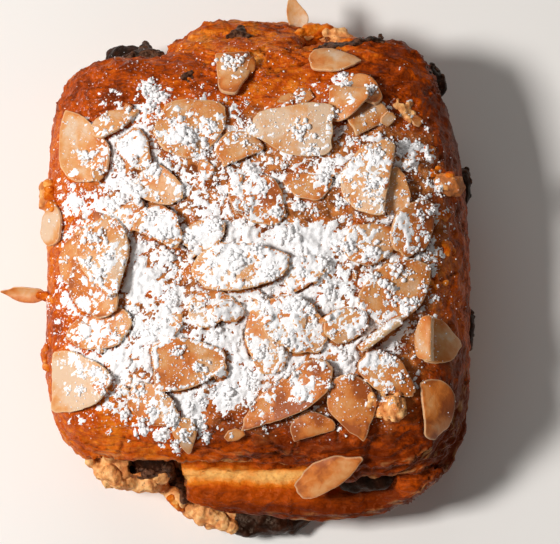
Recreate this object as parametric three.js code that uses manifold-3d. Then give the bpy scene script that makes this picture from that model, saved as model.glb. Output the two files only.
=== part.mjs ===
// Almond pain au chocolat: a laminated dough rolled round almond cream and two chocolate batons,
// with flaked almonds baked on top. Millimetres, +Z up. The origin lies on the flat base under
// the middle of the roll. The batons run along Y, and the front end looks towards -Y.

import * as THREE from "three";
import { mergeVertices } from "three/addons/utils/BufferGeometryUtils.js";
import Module from "manifold-3d";

const wasm = await Module();
wasm.setup();

const { degToRad, seededRandom, smoothstep } = THREE.MathUtils;

// Clearance kept between neighbouring pieces, and the seed of every random draw.
const gap = 0.3;
const seed = 832;

// Cushion-like forms. half is the half width and half length at the widest level, squareness
// shapes the plan (2 is an ellipse), crown and foot shape the side above and below that level.
const roll = {
  centre: [0, 0], half: [46.4, 45.5], squareness: 6,
  low: -2.5, widest: 18, high: 44, crown: 3.2, foot: 6,
};
const underside = {
  centre: [0.5, -1], half: [44, 49], squareness: 5,
  low: -2.5, widest: 4, high: 11, crown: 2.4, foot: 4,
};
const tongueFront = {
  centre: [6, -20], half: [40, 36.8], squareness: 3,
  low: 9.2, widest: 14, high: 19.7, crown: 6, foot: 6,
};
const tongueBack = {
  centre: [0.5, 22], half: [25, 34.8], squareness: 3.8,
  low: 9.2, widest: 14, high: 19.7, crown: 6, foot: 6,
};
const backSlope = {
  centre: [-6, 45.4], half: [16.4, 10.3], squareness: 3,
  low: 10, widest: 16, high: 30, crown: 2.4, foot: 4,
};
const creamForms = [
  {
    centre: [-27, -0.5], half: [13.2, 51], squareness: 3.4,
    low: 3.5, widest: 12, high: 24, crown: 2.6, foot: 2.6,
  },
  {
    centre: [-4, -5], half: [20.5, 54.6], squareness: 3.2,
    low: 0.7, widest: 5.6, high: 10.4, crown: 2.8, foot: 2.4,
  },
  {
    centre: [0, 0], half: [37, 44.5], squareness: 7,
    low: 17, widest: 22, high: 29, crown: 3, foot: 3,
  },
];
const seeps = {
  chocolate_seep_front: {
    centre: [2, -55.5], half: [10, 4.6], squareness: 2.4,
    low: 2.2, widest: 5.2, high: 8.6, crown: 2.2, foot: 2.2,
  },
  chocolate_seep_right: {
    centre: [44.6, 17], half: [2.5, 6.4], squareness: 2.2,
    low: 11.4, widest: 14, high: 16.8, crown: 2.2, foot: 2.2,
  },
  chocolate_seep_side: {
    centre: [45.4, -14.5], half: [2.3, 5.6], squareness: 2.2,
    low: 9.4, widest: 12, high: 14.6, crown: 2.2, foot: 2.2,
  },
  chocolate_seep_corner: {
    centre: [39.6, 41], half: [3.4, 4.4], squareness: 2.2,
    low: 15.4, widest: 18, high: 20.8, crown: 2.2, foot: 2.2,
  },
};
const creamCrumbs = {
  cream_crumb_front: {
    centre: [28.2, -35.2], half: [3.1, 2.9], squareness: 2.2,
    low: 36, widest: 40.4, high: 44.2, crown: 2, foot: 2.4,
  },
  cream_crumb_right: {
    centre: [40.8, 13.5], half: [3.6, 3.2], squareness: 2,
    low: 32, widest: 36.2, high: 40.2, crown: 2, foot: 2.4,
  },
  cream_crumb_left: {
    centre: [-45.6, 13.5], half: [2.8, 3.4], squareness: 2.2,
    low: 24, widest: 28, high: 32, crown: 2, foot: 2.4,
  },
};

// Surface relief: layer edges across the open ends, a swelling top and lumpy cream.
const layers = { pitch: 4.6, depth: 0.75, drift: 1.4, span: 13, from: 30, flatBelow: 2, fullAbove: 10 };
const swell = { depth: 0.9, spanX: 8.5, spanY: 7.2, skew: 30 };
const lumps = { depth: 0.7, span: 2.7, upward: 0.4 };
const backTaper = { by: 4.4, from: 5, side: 40 }; // the right side draws in towards the back

// Where the lid reaches further over an end (1 is the back): by how much, where it begins and is
// full from left to right and ends again, and from which distance and height on.
const bulges = [
  { end: -1, by: 3.4, begin: [6, 24], stop: [36, 45], reach: [30, 44], above: [19, 25] },
  { end: 1, by: 7.4, begin: [4, 26], stop: [36, 48], reach: [18, 43], above: [10, 20] },
  { end: 1, by: 2.6, begin: [-44, -34], stop: [-18, -2], reach: [24, 43], above: [20, 27] },
];

// The filling's channel, seen from the front: an upper slot, a pocket on the left at the end of
// the inner sheet, and a lower slot. It runs through the roll.
const channel = {
  left: -37, tongueEnd: -16.5, upperEnd: 32.5, lowerEnd: 16,
  lowerFloor: 5.5, lowerRoof: 9, upperFloor: 20, upperRoof: 26,
  arch: 1.4, corner: 5, length: 140,
};

// Batons lie along Y. turn swings the front end to the right, in degrees.
const batons = {
  chocolate_baton_left: { at: [-26.5, 3, 15.4], wide: 11.2, high: 8.6, long: 99, turn: 4 },
  chocolate_baton_right: { at: [20.5, -2, 23.9], wide: 12.4, high: 4.6, long: 102, turn: 3.4 },
};
const batonEnd = { round: 0.8, steps: 2 };

// How a flake was cut. tip narrows it towards its pointed end, side and base say how much of
// each half is left beside a straight cut along the flake or across it.
const cuts = {
  whole: { tip: 0.3, side: 1, base: 1 },
  drop: { tip: 0.62, side: 1, base: 1 },
  side: { tip: 0.35, side: 0.3, base: 1 },
  base: { tip: 0.25, side: 1, base: 0.5 },
  leaf: { tip: 0.7, side: 0.75, base: 1 },
  chip: { tip: 0.1, side: 0.7, base: 0.7 },
  corner: { tip: 0.3, side: 0.35, base: 0.35 },
};
const flakeForm = { thick: 1.1, sides: 16, bend: 0.7, uneven: 0.07, steepest: 26 };

// Flakes in the order in which they lie, undermost first. turn is the way the pointed end looks,
// counter-clockwise from +X. lean gives a tilt: [the way it slopes down, by how much], and
// level the height of a flake that is stuck in the side.
const flakes = [
  { at: [23.6, 27.8], long: 9, wide: 6, turn: 30, cut: "chip" },
  { at: [-4.2, 21], long: 10, wide: 6.6, turn: 25, cut: "side" },
  { at: [29.6, 11], long: 11, wide: 6.4, turn: 85, cut: "whole" },
  { at: [0.2, 9.2], long: 14, wide: 10.7, turn: -45, cut: "whole" },
  { at: [-40, -2.5], long: 11, wide: 6, turn: 85, cut: "side" },
  { at: [-33.8, -18.5], long: 16, wide: 9.2, turn: 190, cut: "whole" },
  { at: [-35, -10.6], long: 14.4, wide: 9.6, turn: -50, cut: "whole" },
  { at: [-27.6, 5.7], long: 9, wide: 6, turn: 45, cut: "base" },
  { at: [-11.1, 1.2], long: 10, wide: 7, turn: 30, cut: "whole" },
  { at: [10.4, -6.6], long: 10, wide: 7, turn: 20, cut: "base" },
  { at: [2.2, -20], long: 17, wide: 9.8, turn: 95, cut: "whole" },
  { at: [24.2, -0.2], long: 12.5, wide: 9, turn: 20, cut: "whole" },
  { at: [-20.7, 12], long: 11, wide: 8, turn: -30, cut: "whole" },
  { at: [-26, 19.5], long: 9.5, wide: 7, turn: -60, cut: "base" },
  { at: [-20.5, 3.6], long: 11, wide: 7.4, turn: -25, cut: "side" },
  { at: [-9.6, -14.5], long: 10.5, wide: 7.6, turn: 20, cut: "whole" },
  { at: [11.6, -38.4], long: 9.6, wide: 5.8, turn: 15, cut: "side" },
  { at: [-15.4, -40.6], long: 8, wide: 5.2, turn: -80, cut: "drop" },
  { at: [-22, -35], long: 12, wide: 8, turn: -35, cut: "whole" },
  { at: [39.5, -20.8], long: 9.8, wide: 10, turn: 0, cut: "base" },
  { at: [-38.4, 22.2], long: 18.4, wide: 12, turn: 116, cut: "drop" },
  { at: [-30.6, 26.6], long: 11.4, wide: 5.2, turn: 27, cut: "leaf" },
  { at: [-14.2, 25.2], long: 16.4, wide: 13.2, turn: 25, cut: "whole" },
  { at: [-5, 37.8], long: 12.2, wide: 7.6, turn: -86, cut: "corner", lean: [92, 31] },
  { at: [16.8, 41.2], long: 11.6, wide: 6.6, turn: -5, cut: "drop" },
  { at: [22.6, 34], long: 9.8, wide: 6.4, turn: -25, cut: "side" },
  { at: [19.6, 29.8], long: 8.2, wide: 9, turn: -95, cut: "corner" },
  { at: [7, 24.5], long: 18.2, wide: 12, turn: 175, cut: "base" },
  { at: [23.4, 14.4], long: 16.8, wide: 10.6, turn: 80, cut: "side", lean: [172, 14] },
  { at: [10.6, 11.6], long: 10.4, wide: 5.8, turn: 175, cut: "side" },
  { at: [33.6, 3.5], long: 13.4, wide: 9.6, turn: 60, cut: "whole" },
  { at: [-44.6, 5.6], long: 9.4, wide: 6, turn: 90, cut: "whole", lean: [180, 42] },
  { at: [-32.4, -3.6], long: 18.2, wide: 11.8, turn: -74, cut: "drop" },
  { at: [-37.6, -29.4], long: 14.6, wide: 12.8, turn: -2, cut: "base" },
  { at: [29.8, -10.2], long: 18.2, wide: 12, turn: 35, cut: "whole" },
  { at: [-3.7, -5.8], long: 21, wide: 10.4, turn: 5, cut: "whole" },
  { at: [8, -18.2], long: 15.4, wide: 11.2, turn: -35, cut: "whole" },
  { at: [18.8, -18.2], long: 10, wide: 7.4, turn: 20, cut: "whole" },
  { at: [27.8, -28.6], long: 13.4, wide: 8, turn: -35, cut: "drop" },
  { at: [26, -20], long: 11.4, wide: 4.8, turn: 38, cut: "side", lean: [128, 70] },
  { at: [35.4, -20.8], long: 9.6, wide: 6.4, turn: 88, cut: "side", lean: [180, 56] },
  { at: [38.8, -35], long: 12.6, wide: 7.8, turn: -82, cut: "side" },
  { at: [20.4, -35.4], long: 15.4, wide: 10.4, turn: -75, cut: "drop" },
  { at: [6.2, -33.8], long: 24, wide: 8.2, turn: 213, cut: "leaf" },
  { at: [15.6, -48.4], long: 16, wide: 7, turn: 28, cut: "leaf" },
  { at: [-14.4, -26.2], long: 15.4, wide: 11.2, turn: 5, cut: "base" },
  { at: [-51.3, -8.8], long: 10.6, wide: 3.4, turn: 176, cut: "leaf", level: 20 },
  { at: [8.6, 56.6], long: 9, wide: 4.6, turn: 108, cut: "drop", lean: [108, 8] },
];
const support = { leastArea: 1, slack: 0.01, rings: [0.15, 0.55, 1] }; // points that carry a flake
const lift = 0.15; // how far a flake is raised at a time until it is clear
const grid = { half: 66, step: 0.5, edge: 0.05 }; // the map of heights that the flakes settle on

// Materials
function finish(color, roughness) {
  return new THREE.MeshStandardMaterial({ color, roughness, metalness: 0 });
}
const crust = finish(0xb4621f, 0.42);
const cream = finish(0xd6a063, 0.85);
const chocolate = finish(0x2c1710, 0.5);
const almond = finish(0xe6c795, 0.6);

// Solids from geometries and back
function toSolid(geometry) {
  const bare = new THREE.BufferGeometry();
  bare.setAttribute("position", geometry.getAttribute("position"));
  bare.setIndex(geometry.getIndex());
  const merged = mergeVertices(bare);
  return new wasm.Manifold(new wasm.Mesh({
    numProp: 3,
    vertProperties: new Float32Array(merged.getAttribute("position").array),
    triVerts: new Uint32Array(merged.getIndex().array),
  }));
}

function toGeometry(solid) {
  const { numProp, vertProperties, triVerts } = solid.getMesh();
  const geometry = new THREE.BufferGeometry();
  geometry.setAttribute("position", new THREE.BufferAttribute(vertProperties, numProp));
  geometry.setIndex(new THREE.BufferAttribute(triVerts, 1));
  geometry.computeVertexNormals();
  return geometry;
}

function largestBody(solid) {
  const bodies = solid.decompose();
  return bodies.reduce((best, body) => (body.volume() > best.volume() ? body : best));
}

function spread(from, to, steps) {
  return Array.from({ length: steps }, (_, i) => from + ((to - from) * i) / steps);
}

// A closed surface of rings round a bottom pole and a top pole. place(level, angle) gives the
// point of one ring, with level from -90 at the bottom to 90 at the top.
function ringedGeometry(levels, segments, place) {
  const rings = levels.slice(1, -1);
  const points = [place(levels[0], 0)];
  for (const level of rings) {
    for (const angle of spread(0, 2 * Math.PI, segments)) {
      points.push(place(level, angle));
    }
  }
  points.push(place(levels.at(-1), 0));
  const top = points.length - 1;
  const vertex = (ring, segment) => 1 + ring * segments + (segment % segments);
  const index = [];
  for (let s = 0; s < segments; s += 1) {
    index.push(0, vertex(0, s + 1), vertex(0, s));
    for (let r = 0; r + 1 < rings.length; r += 1) {
      index.push(vertex(r, s), vertex(r, s + 1), vertex(r + 1, s + 1));
      index.push(vertex(r, s), vertex(r + 1, s + 1), vertex(r + 1, s));
    }
    index.push(top, vertex(rings.length - 1, s), vertex(rings.length - 1, s + 1));
  }
  const geometry = new THREE.BufferGeometry().setFromPoints(points);
  geometry.setIndex(index);
  return geometry;
}

// One cushion-like form, grown outwards by grow. relief(x, y, z) moves a point out, up and along Y.
function cushion(shape, { levels, segments, grow = 0, relief = () => [0, 0, 0] }) {
  const [halfX, halfY] = shape.half.map((half) => half + grow);
  const place = (level, angle) => {
    const [along, up] = [Math.cos(degToRad(level)), Math.sin(degToRad(level))];
    const power = level > 0 ? shape.crown : shape.foot;
    const scale = (along ** power + Math.abs(up) ** power) ** (-1 / power);
    const [cos, sin] = [Math.cos(angle), Math.sin(angle)];
    const plan = (Math.abs(cos) / halfX) ** shape.squareness + (Math.abs(sin) / halfY) ** shape.squareness;
    const reach = along * scale * plan ** (-1 / shape.squareness);
    const reachUp = level > 0 ? shape.high - shape.widest + grow : shape.widest - shape.low + grow;
    const z = Math.max(shape.widest + up * scale * reachUp, -grow);
    const [x, y] = [shape.centre[0] + reach * cos, shape.centre[1] + reach * sin];
    const [out, rise, slide] = relief(x, y, z);
    const ease = Math.min(along * scale * 2, 1);
    const moved = [x + out * ease * cos, y + (out * sin + slide) * ease, z + rise * Math.max(up, 0)];
    return new THREE.Vector3(...moved);
  };
  return toSolid(ringedGeometry(levels, segments, place));
}

const evenLevels = (steps) => [...spread(-90, 90, steps), 90];

function bulgeOf({ end, by, begin, stop, reach, above }, x, y, z) {
  const across = smoothstep(x, ...begin) * (1 - smoothstep(x, ...stop));
  return end * by * across * smoothstep(end * y, ...reach) * smoothstep(z, ...above);
}

// Relief of the rolled sheet: it swells on top, its layers show as ridges across both ends, its
// right side draws in towards the back and its lid bulges over the ends. The base stays flat.
function rollRelief(x, y, z) {
  const end = smoothstep(Math.abs(y), layers.from, roll.half[1]);
  const aboveBase = smoothstep(z, layers.flatBelow, layers.fullAbove);
  const ridge = Math.sin((2 * Math.PI * z) / layers.pitch + layers.drift * Math.sin(x / layers.span));
  const taper = backTaper.by * smoothstep(y, backTaper.from, roll.half[1]) * smoothstep(x, 0, backTaper.side);
  const slide = bulges.reduce((sum, bulge) => sum + bulgeOf(bulge, x, y, z), 0);
  const wave = Math.sin(x / swell.spanX + 1) * Math.cos(y / swell.spanY + x / swell.skew);
  return [layers.depth * end * aboveBase * ridge - taper, swell.depth * wave, slide];
}

function tongueRelief(x, y, z) {
  const ridge = Math.sin((2 * Math.PI * z) / layers.pitch + layers.drift * Math.sin(x / layers.span));
  return [layers.depth * ridge, 0, 0];
}

function lumpyRelief(x, y, z) {
  const lump = Math.sin(x / lumps.span) * Math.cos(y / lumps.span + z) + Math.sin(z / lumps.span + x);
  return [lumps.depth * lump, lumps.upward * lumps.depth * lump, 0];
}

// Front view of the channel, drawn in and run along Y. inset narrows it all round.
function channelSolid(inset) {
  const { left, tongueEnd, upperEnd, lowerEnd, arch, corner, length } = channel;
  const [wall, step] = [left + inset, tongueEnd - inset];
  const lower = [channel.lowerFloor + inset, channel.lowerRoof - inset];
  const upper = [channel.upperFloor + inset, channel.upperRoof - inset];
  const middle = (ends) => (ends[0] + ends[1]) / 2;
  const radius = (ends) => (ends[1] - ends[0]) / 2;
  const shape = new THREE.Shape();
  shape.moveTo(wall + corner, lower[0]);
  shape.lineTo(lowerEnd, lower[0]);
  shape.absarc(lowerEnd, middle(lower), radius(lower), -Math.PI / 2, Math.PI / 2);
  shape.lineTo(step, lower[1]);
  shape.lineTo(step, upper[0]);
  shape.quadraticCurveTo((step + upperEnd) / 2, upper[0] + 2 * arch, upperEnd, upper[0]);
  shape.absarc(upperEnd, middle(upper), radius(upper), -Math.PI / 2, Math.PI / 2);
  shape.quadraticCurveTo((wall + upperEnd) / 2, upper[1] + 2 * arch, wall + corner, upper[1]);
  shape.quadraticCurveTo(wall, upper[1], wall, upper[1] - corner);
  shape.lineTo(wall, lower[0] + corner);
  shape.quadraticCurveTo(wall, lower[0], wall + corner, lower[0]);
  const geometry = new THREE.ExtrudeGeometry(shape, { depth: length, bevelEnabled: false, curveSegments: 6 });
  geometry.rotateX(Math.PI / 2);
  geometry.translate(0, length / 2, 0);
  return toSolid(geometry);
}

// The rolled sheet: outer roll less the channel, with the inner sheet standing out at both ends.
// clear grows the dough all round, for cutting its neighbours.
function doughSolid(clear) {
  const rollLevels = [...spread(-90, -50, 3), ...spread(-50, 58, 20), ...spread(58, 90, 6), 90];
  const outer = cushion(roll, { levels: rollLevels, segments: 76, grow: clear, relief: rollRelief });
  const plainMesh = { levels: evenLevels(9), segments: 44, grow: clear };
  const tongueMesh = { levels: evenLevels(12), segments: 36, grow: clear, relief: tongueRelief };
  const beyondCut = new THREE.BoxGeometry(channel.length, channel.length, channel.length);
  beyondCut.translate(channel.tongueEnd - clear - channel.length / 2, 0, 0);
  const ends = cushion(tongueFront, tongueMesh).add(cushion(tongueBack, tongueMesh));
  const slope = cushion(backSlope, { levels: evenLevels(9), segments: 26, grow: clear });
  const wrap = outer.add(cushion(underside, plainMesh)).subtract(channelSolid(clear));
  return largestBody(wrap.add(ends.subtract(toSolid(beyondCut))).add(slope));
}

function batonMesh(name, { at, wide, high, long, turn }, grow) {
  const section = new THREE.Shape();
  section.absellipse(0, 0, wide / 2 + grow, high / 2 + grow, 0, 2 * Math.PI);
  const geometry = new THREE.ExtrudeGeometry(section, {
    depth: long - 2 * batonEnd.round + 2 * grow,
    curveSegments: 7,
    steps: 2,
    bevelSegments: batonEnd.steps,
    bevelThickness: batonEnd.round,
    bevelSize: batonEnd.round,
    bevelOffset: -batonEnd.round,
  });
  geometry.center();
  geometry.rotateX(Math.PI / 2);
  const mesh = new THREE.Mesh(geometry, chocolate);
  mesh.name = name;
  mesh.position.set(...at);
  mesh.rotation.z = degToRad(turn);
  return mesh;
}

function worldSolid(mesh) {
  mesh.updateMatrix();
  return toSolid(mesh.geometry.clone().applyMatrix4(mesh.matrix));
}

// Outline of one flake about its middle, with its tip towards +X.
function flakeOutline({ long, wide, cut }, wobble, grow) {
  const { tip, side, base } = cuts[cut];
  const outline = spread(0, 2 * Math.PI, flakeForm.sides).map((angle, i) => {
    const narrowed = 1 - tip * ((1 + Math.cos(angle)) / 2) ** 2;
    const reach = 1 + flakeForm.uneven * wobble[i];
    const u = Math.max(Math.cos(angle) * reach, -base);
    const v = Math.max(Math.sin(angle) * narrowed * reach, -side);
    return new THREE.Vector2(u, v);
  });
  const box = new THREE.Box2().setFromPoints(outline);
  const middle = box.getCenter(new THREE.Vector2());
  const fit = new THREE.Vector2(long, wide).divide(box.getSize(new THREE.Vector2()));
  return outline.map((point) => {
    const fitted = point.sub(middle).multiply(fit);
    return fitted.multiplyScalar(1 + grow / fitted.length());
  });
}

// A flake is a thin slice: both faces are fans over the same outline, bent across.
function flakeGeometry(outline, wide, bend, grow) {
  const half = flakeForm.thick / 2 + grow;
  const sag = (point) => bend * (0.5 - (2 * point.y / wide) ** 2);
  const ring = (side) => outline.map((p) => new THREE.Vector3(p.x, p.y, sag(p) + side * half));
  const points = [...ring(-1), ...ring(1)];
  const count = outline.length;
  points.push(new THREE.Vector3(0, 0, bend / 2 - half), new THREE.Vector3(0, 0, bend / 2 + half));
  const index = [];
  for (let i = 0; i < count; i += 1) {
    const next = (i + 1) % count;
    index.push(2 * count, next, i);
    index.push(2 * count + 1, count + i, count + next);
    index.push(i, next, count + next, i, count + next, count + i);
  }
  const geometry = new THREE.BufferGeometry().setFromPoints(points);
  geometry.setIndex(index);
  geometry.computeVertexNormals();
  return geometry;
}

// Height of everything laid so far, on a square grid seen from above.
const heights = {
  rowLength: Math.round((2 * grid.half) / grid.step) + 1,
  cells: [],

  cell(value) {
    return Math.round((value + grid.half) / grid.step);
  },

  at(x, y) {
    return this.cells[this.cell(y) * this.rowLength + this.cell(x)] ?? 0;
  },

  // Raises the cells under each upward face of a geometry.
  stamp(geometry) {
    const position = geometry.getAttribute("position");
    const index = geometry.getIndex();
    const [a, b, c] = [new THREE.Vector3(), new THREE.Vector3(), new THREE.Vector3()];
    const [spot, weights] = [new THREE.Vector3(), new THREE.Vector3()];
    for (let i = 0; i < index.count; i += 3) {
      a.fromBufferAttribute(position, index.getX(i));
      b.fromBufferAttribute(position, index.getX(i + 1));
      c.fromBufferAttribute(position, index.getX(i + 2));
      const levels = new THREE.Vector3(a.z, b.z, c.z);
      for (const corner of [a, b, c]) corner.z = 0;
      const [firstU, lastU] = [Math.min(a.x, b.x, c.x), Math.max(a.x, b.x, c.x)].map(this.cell);
      const [firstV, lastV] = [Math.min(a.y, b.y, c.y), Math.max(a.y, b.y, c.y)].map(this.cell);
      for (let v = firstV; v <= lastV; v += 1) {
        for (let u = firstU; u <= lastU; u += 1) {
          spot.set(u * grid.step - grid.half, v * grid.step - grid.half, 0);
          if (THREE.Triangle.getBarycoord(spot, a, b, c, weights) === null) continue;
          if (Math.min(weights.x, weights.y, weights.z) < -grid.edge) continue;
          const cell = v * this.rowLength + u;
          const height = weights.dot(levels);
          this.cells[cell] = Math.max(this.cells[cell] ?? 0, height);
        }
      }
    }
  },
};

// The plane that a flake comes to rest on: it clears every point under the flake, and three of
// those points, round the flake's middle, carry it. Returns its slope along X and along Y.
function restingSlope(points) {
  for (let i = 0; i < points.length; i += 1) {
    for (let j = i + 1; j < points.length; j += 1) {
      for (let k = j + 1; k < points.length; k += 1) {
        const [a, b, c] = [points[i], points[j], points[k]];
        const area = (b.x - a.x) * (c.y - a.y) - (b.y - a.y) * (c.x - a.x);
        if (Math.abs(area) < support.leastArea) continue;
        const sides = [[a, b], [b, c], [c, a]].map(([p, q]) => (p.x * q.y - p.y * q.x) / area);
        if (Math.min(...sides) < 0) continue;
        const slopeX = ((b.z - a.z) * (c.y - a.y) - (c.z - a.z) * (b.y - a.y)) / area;
        const slopeY = ((c.z - a.z) * (b.x - a.x) - (b.z - a.z) * (c.x - a.x)) / area;
        const rise = a.z - slopeX * a.x - slopeY * a.y;
        const clears = points.every((p) => p.z <= rise + slopeX * p.x + slopeY * p.y + support.slack);
        if (clears) return [slopeX, slopeY];
      }
    }
  }
  return [0, 0];
}

function tiltedBy(lean) {
  const [towards, by] = lean.map(degToRad);
  return new THREE.Vector3(Math.sin(by) * Math.cos(towards), Math.sin(by) * Math.sin(towards), Math.cos(by));
}

// Which way a flake faces once it lies on what is under it.
function restingNormal(outline, turn, [x, y]) {
  const under = [];
  for (const scale of support.rings) {
    for (const point of outline) {
      const spot = point.clone().multiplyScalar(scale).rotateAround(new THREE.Vector2(), turn);
      under.push(new THREE.Vector3(spot.x, spot.y, heights.at(x + spot.x, y + spot.y)));
    }
  }
  const [slopeX, slopeY] = restingSlope(under);
  const steepness = Math.hypot(slopeX, slopeY);
  const limit = Math.tan(degToRad(flakeForm.steepest));
  const ease = steepness > limit ? limit / steepness : 1;
  return new THREE.Vector3(-slopeX * ease, -slopeY * ease, 1).normalize();
}

// Lays one flake on what is there already, and lifts it until it is clear all round.
function layFlake(flake, name, laid) {
  const wobble = Array.from({ length: flakeForm.sides }, () => 2 * seededRandom() - 1);
  const bend = flakeForm.bend * (2 * seededRandom() - 1);
  const outline = flakeOutline(flake, wobble, 0);
  const mesh = new THREE.Mesh(flakeGeometry(outline, flake.wide, bend, 0), almond);
  mesh.name = name;
  const turn = degToRad(flake.turn);
  const normal = flake.lean ? tiltedBy(flake.lean) : restingNormal(outline, turn, flake.at);
  const up = new THREE.Vector3(0, 0, 1);
  mesh.quaternion.setFromUnitVectors(up, normal);
  mesh.quaternion.multiply(new THREE.Quaternion().setFromAxisAngle(up, turn));
  const position = mesh.geometry.getAttribute("position");
  let rest = 0;
  for (let i = 0; i < position.count; i += 1) {
    const corner = new THREE.Vector3().fromBufferAttribute(position, i).applyQuaternion(mesh.quaternion);
    rest = Math.max(rest, heights.at(flake.at[0] + corner.x, flake.at[1] + corner.y) - corner.z);
  }
  mesh.position.set(...flake.at, flake.level ?? rest);
  const wider = flakeOutline(flake, wobble, gap);
  const envelope = new THREE.Mesh(flakeGeometry(wider, flake.wide, bend, gap));
  envelope.quaternion.copy(mesh.quaternion);
  envelope.position.copy(mesh.position);
  const space = () => worldSolid(envelope);
  for (let room = space(); laid.some((other) => !other.intersect(room).isEmpty()); room = space()) {
    envelope.position.z += lift;
  }
  mesh.position.copy(envelope.position);
  return mesh;
}

// The pastry, piece by piece
const pastry = new THREE.Group();
const solids = [];

function addPiece(name, solid, material) {
  const mesh = new THREE.Mesh(toGeometry(solid), material);
  mesh.name = name;
  pastry.add(mesh);
  solids.push(solid);
}

seededRandom(seed);
const doughRoom = doughSolid(gap);
const dough = doughSolid(0);
addPiece("dough", dough, crust);
heights.stamp(toGeometry(dough));

let filling = creamForms
  .map((form) => cushion(form, { levels: evenLevels(8), segments: 22, relief: lumpyRelief }))
  .reduce((all, form) => all.add(form))
  .subtract(doughRoom);

for (const [name, baton] of Object.entries(batons)) {
  const mesh = batonMesh(name, baton, 0);
  pastry.add(mesh);
  solids.push(worldSolid(mesh));
  filling = filling.subtract(worldSolid(batonMesh(name, baton, gap)));
}

const smallMesh = { levels: evenLevels(6), segments: 11, relief: lumpyRelief };
for (const [name, form] of Object.entries(seeps)) {
  addPiece(name, largestBody(cushion(form, smallMesh).subtract(doughRoom)), chocolate);
  filling = filling.subtract(cushion(form, { ...smallMesh, grow: gap }));
}
addPiece("almond_cream", largestBody(filling), cream);
for (const [name, form] of Object.entries(creamCrumbs)) {
  const crumb = largestBody(cushion(form, smallMesh).subtract(doughRoom));
  addPiece(name, crumb, cream);
  heights.stamp(toGeometry(crumb));
}

flakes.forEach((flake, i) => {
  const mesh = layFlake(flake, `almond_flake_${String(i + 1).padStart(2, "0")}`, solids);
  pastry.add(mesh);
  solids.push(worldSolid(mesh));
  heights.stamp(mesh.geometry.clone().applyMatrix4(mesh.matrix));
});

export default pastry;
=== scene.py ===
import itertools
import math

import bmesh
import bpy
import numpy as np
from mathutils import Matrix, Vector
from mathutils.bvhtree import BVHTree


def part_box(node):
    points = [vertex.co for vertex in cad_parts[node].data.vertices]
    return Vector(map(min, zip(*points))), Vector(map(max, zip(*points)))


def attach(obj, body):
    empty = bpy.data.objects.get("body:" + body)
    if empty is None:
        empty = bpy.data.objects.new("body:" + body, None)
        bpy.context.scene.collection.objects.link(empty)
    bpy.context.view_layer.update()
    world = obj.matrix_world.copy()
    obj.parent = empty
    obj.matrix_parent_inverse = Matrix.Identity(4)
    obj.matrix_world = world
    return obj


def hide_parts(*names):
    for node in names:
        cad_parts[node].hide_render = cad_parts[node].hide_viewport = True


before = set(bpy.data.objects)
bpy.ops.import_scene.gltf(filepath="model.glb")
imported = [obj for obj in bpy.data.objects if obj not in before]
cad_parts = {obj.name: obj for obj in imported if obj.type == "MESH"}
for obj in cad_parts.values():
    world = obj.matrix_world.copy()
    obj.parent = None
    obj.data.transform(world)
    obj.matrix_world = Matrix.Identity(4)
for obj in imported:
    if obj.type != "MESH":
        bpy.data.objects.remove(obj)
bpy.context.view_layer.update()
print("frame loaded:", len(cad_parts), "nodes")

# Sizes below are millimetres, with +X to the right of the photo, +Y to its top and +Z to the camera.
# A pair of numbers says from where to where something begins.
mm = 0.001
mergeGap = 0.002  # corners closer than this are one corner
seed = 832
noiseSize = 256


# Shared tools: noise, meshes

dice = np.random.default_rng(seed)
shuffled = dice.permutation(noiseSize)
slopes = dice.normal(size=(noiseSize, 3))
slopes /= np.linalg.norm(slopes, axis=1)[:, None]
scattered = dice.random((noiseSize, 3))


def cellNumber(cell):
    x, y, z = (cell & (noiseSize - 1)).T
    return shuffled[(shuffled[(shuffled[x] + y) & (noiseSize - 1)] + z) & (noiseSize - 1)]


def lumps(points, span, turn=0):
    # smooth noise from about -1 to 1, in lumps about span long; every turn gives other lumps
    p = np.asarray(points) / span + 7.31 * turn
    cell = np.floor(p).astype(int)
    inside = p - cell
    ease = inside ** 3 * (inside * (inside * 6 - 15) + 10)
    total = np.zeros(len(p))
    for corner in itertools.product((0, 1), repeat=3):
        slope = slopes[cellNumber(cell + corner)]
        share = np.prod(np.where(corner, ease, 1 - ease), axis=1)
        total += share * np.einsum("ij,ij->i", inside - corner, slope)
    return total * 1.6


def crumbly(points, span, octaves, turn=0):
    # lumps upon lumps, each half the size of the last
    return sum(lumps(points, span / 2 ** i, turn + i) / 2 ** i for i in range(octaves))


def cells(points, span, turn=0):
    # distance to the nearest of some scattered spots and to the second, in spans
    p = np.asarray(points) / span + 3.17 * turn
    cell = np.floor(p).astype(int)
    first = np.full(len(p), 9.0)
    second = np.full(len(p), 9.0)
    for step in itertools.product((-1, 0, 1), repeat=3):
        spot = cell + step + scattered[cellNumber(cell + step)]
        far = np.linalg.norm(p - spot, axis=1)
        second = np.minimum(second, np.maximum(first, far))
        first = np.minimum(first, far)
    return first, second


def smooth(low, high, value):
    t = np.clip((value - low) / (high - low), 0, 1)
    return t * t * (3 - 2 * t)


def ramps(points, base, rows):
    # a base value, and by how much it changes between two places across, along and up
    value = np.full(len(points), float(base))
    for by, *spans in rows:
        share = by
        for place, span in zip(points.T, spans):
            share = share * smooth(*span, place) if span else share
        value += share
    return value


def columns(*parts):
    return np.stack(parts, axis=1)


def flatPoints(x, y):
    return columns(x, y, np.zeros_like(x))


def nodeShape(name):
    # copy of a CAD node with its shared corners merged
    shape = bmesh.new()
    shape.from_mesh(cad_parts[name].data)
    bmesh.ops.remove_doubles(shape, verts=shape.verts, dist=mergeGap * mm)
    shape.normal_update()
    return shape


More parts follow.
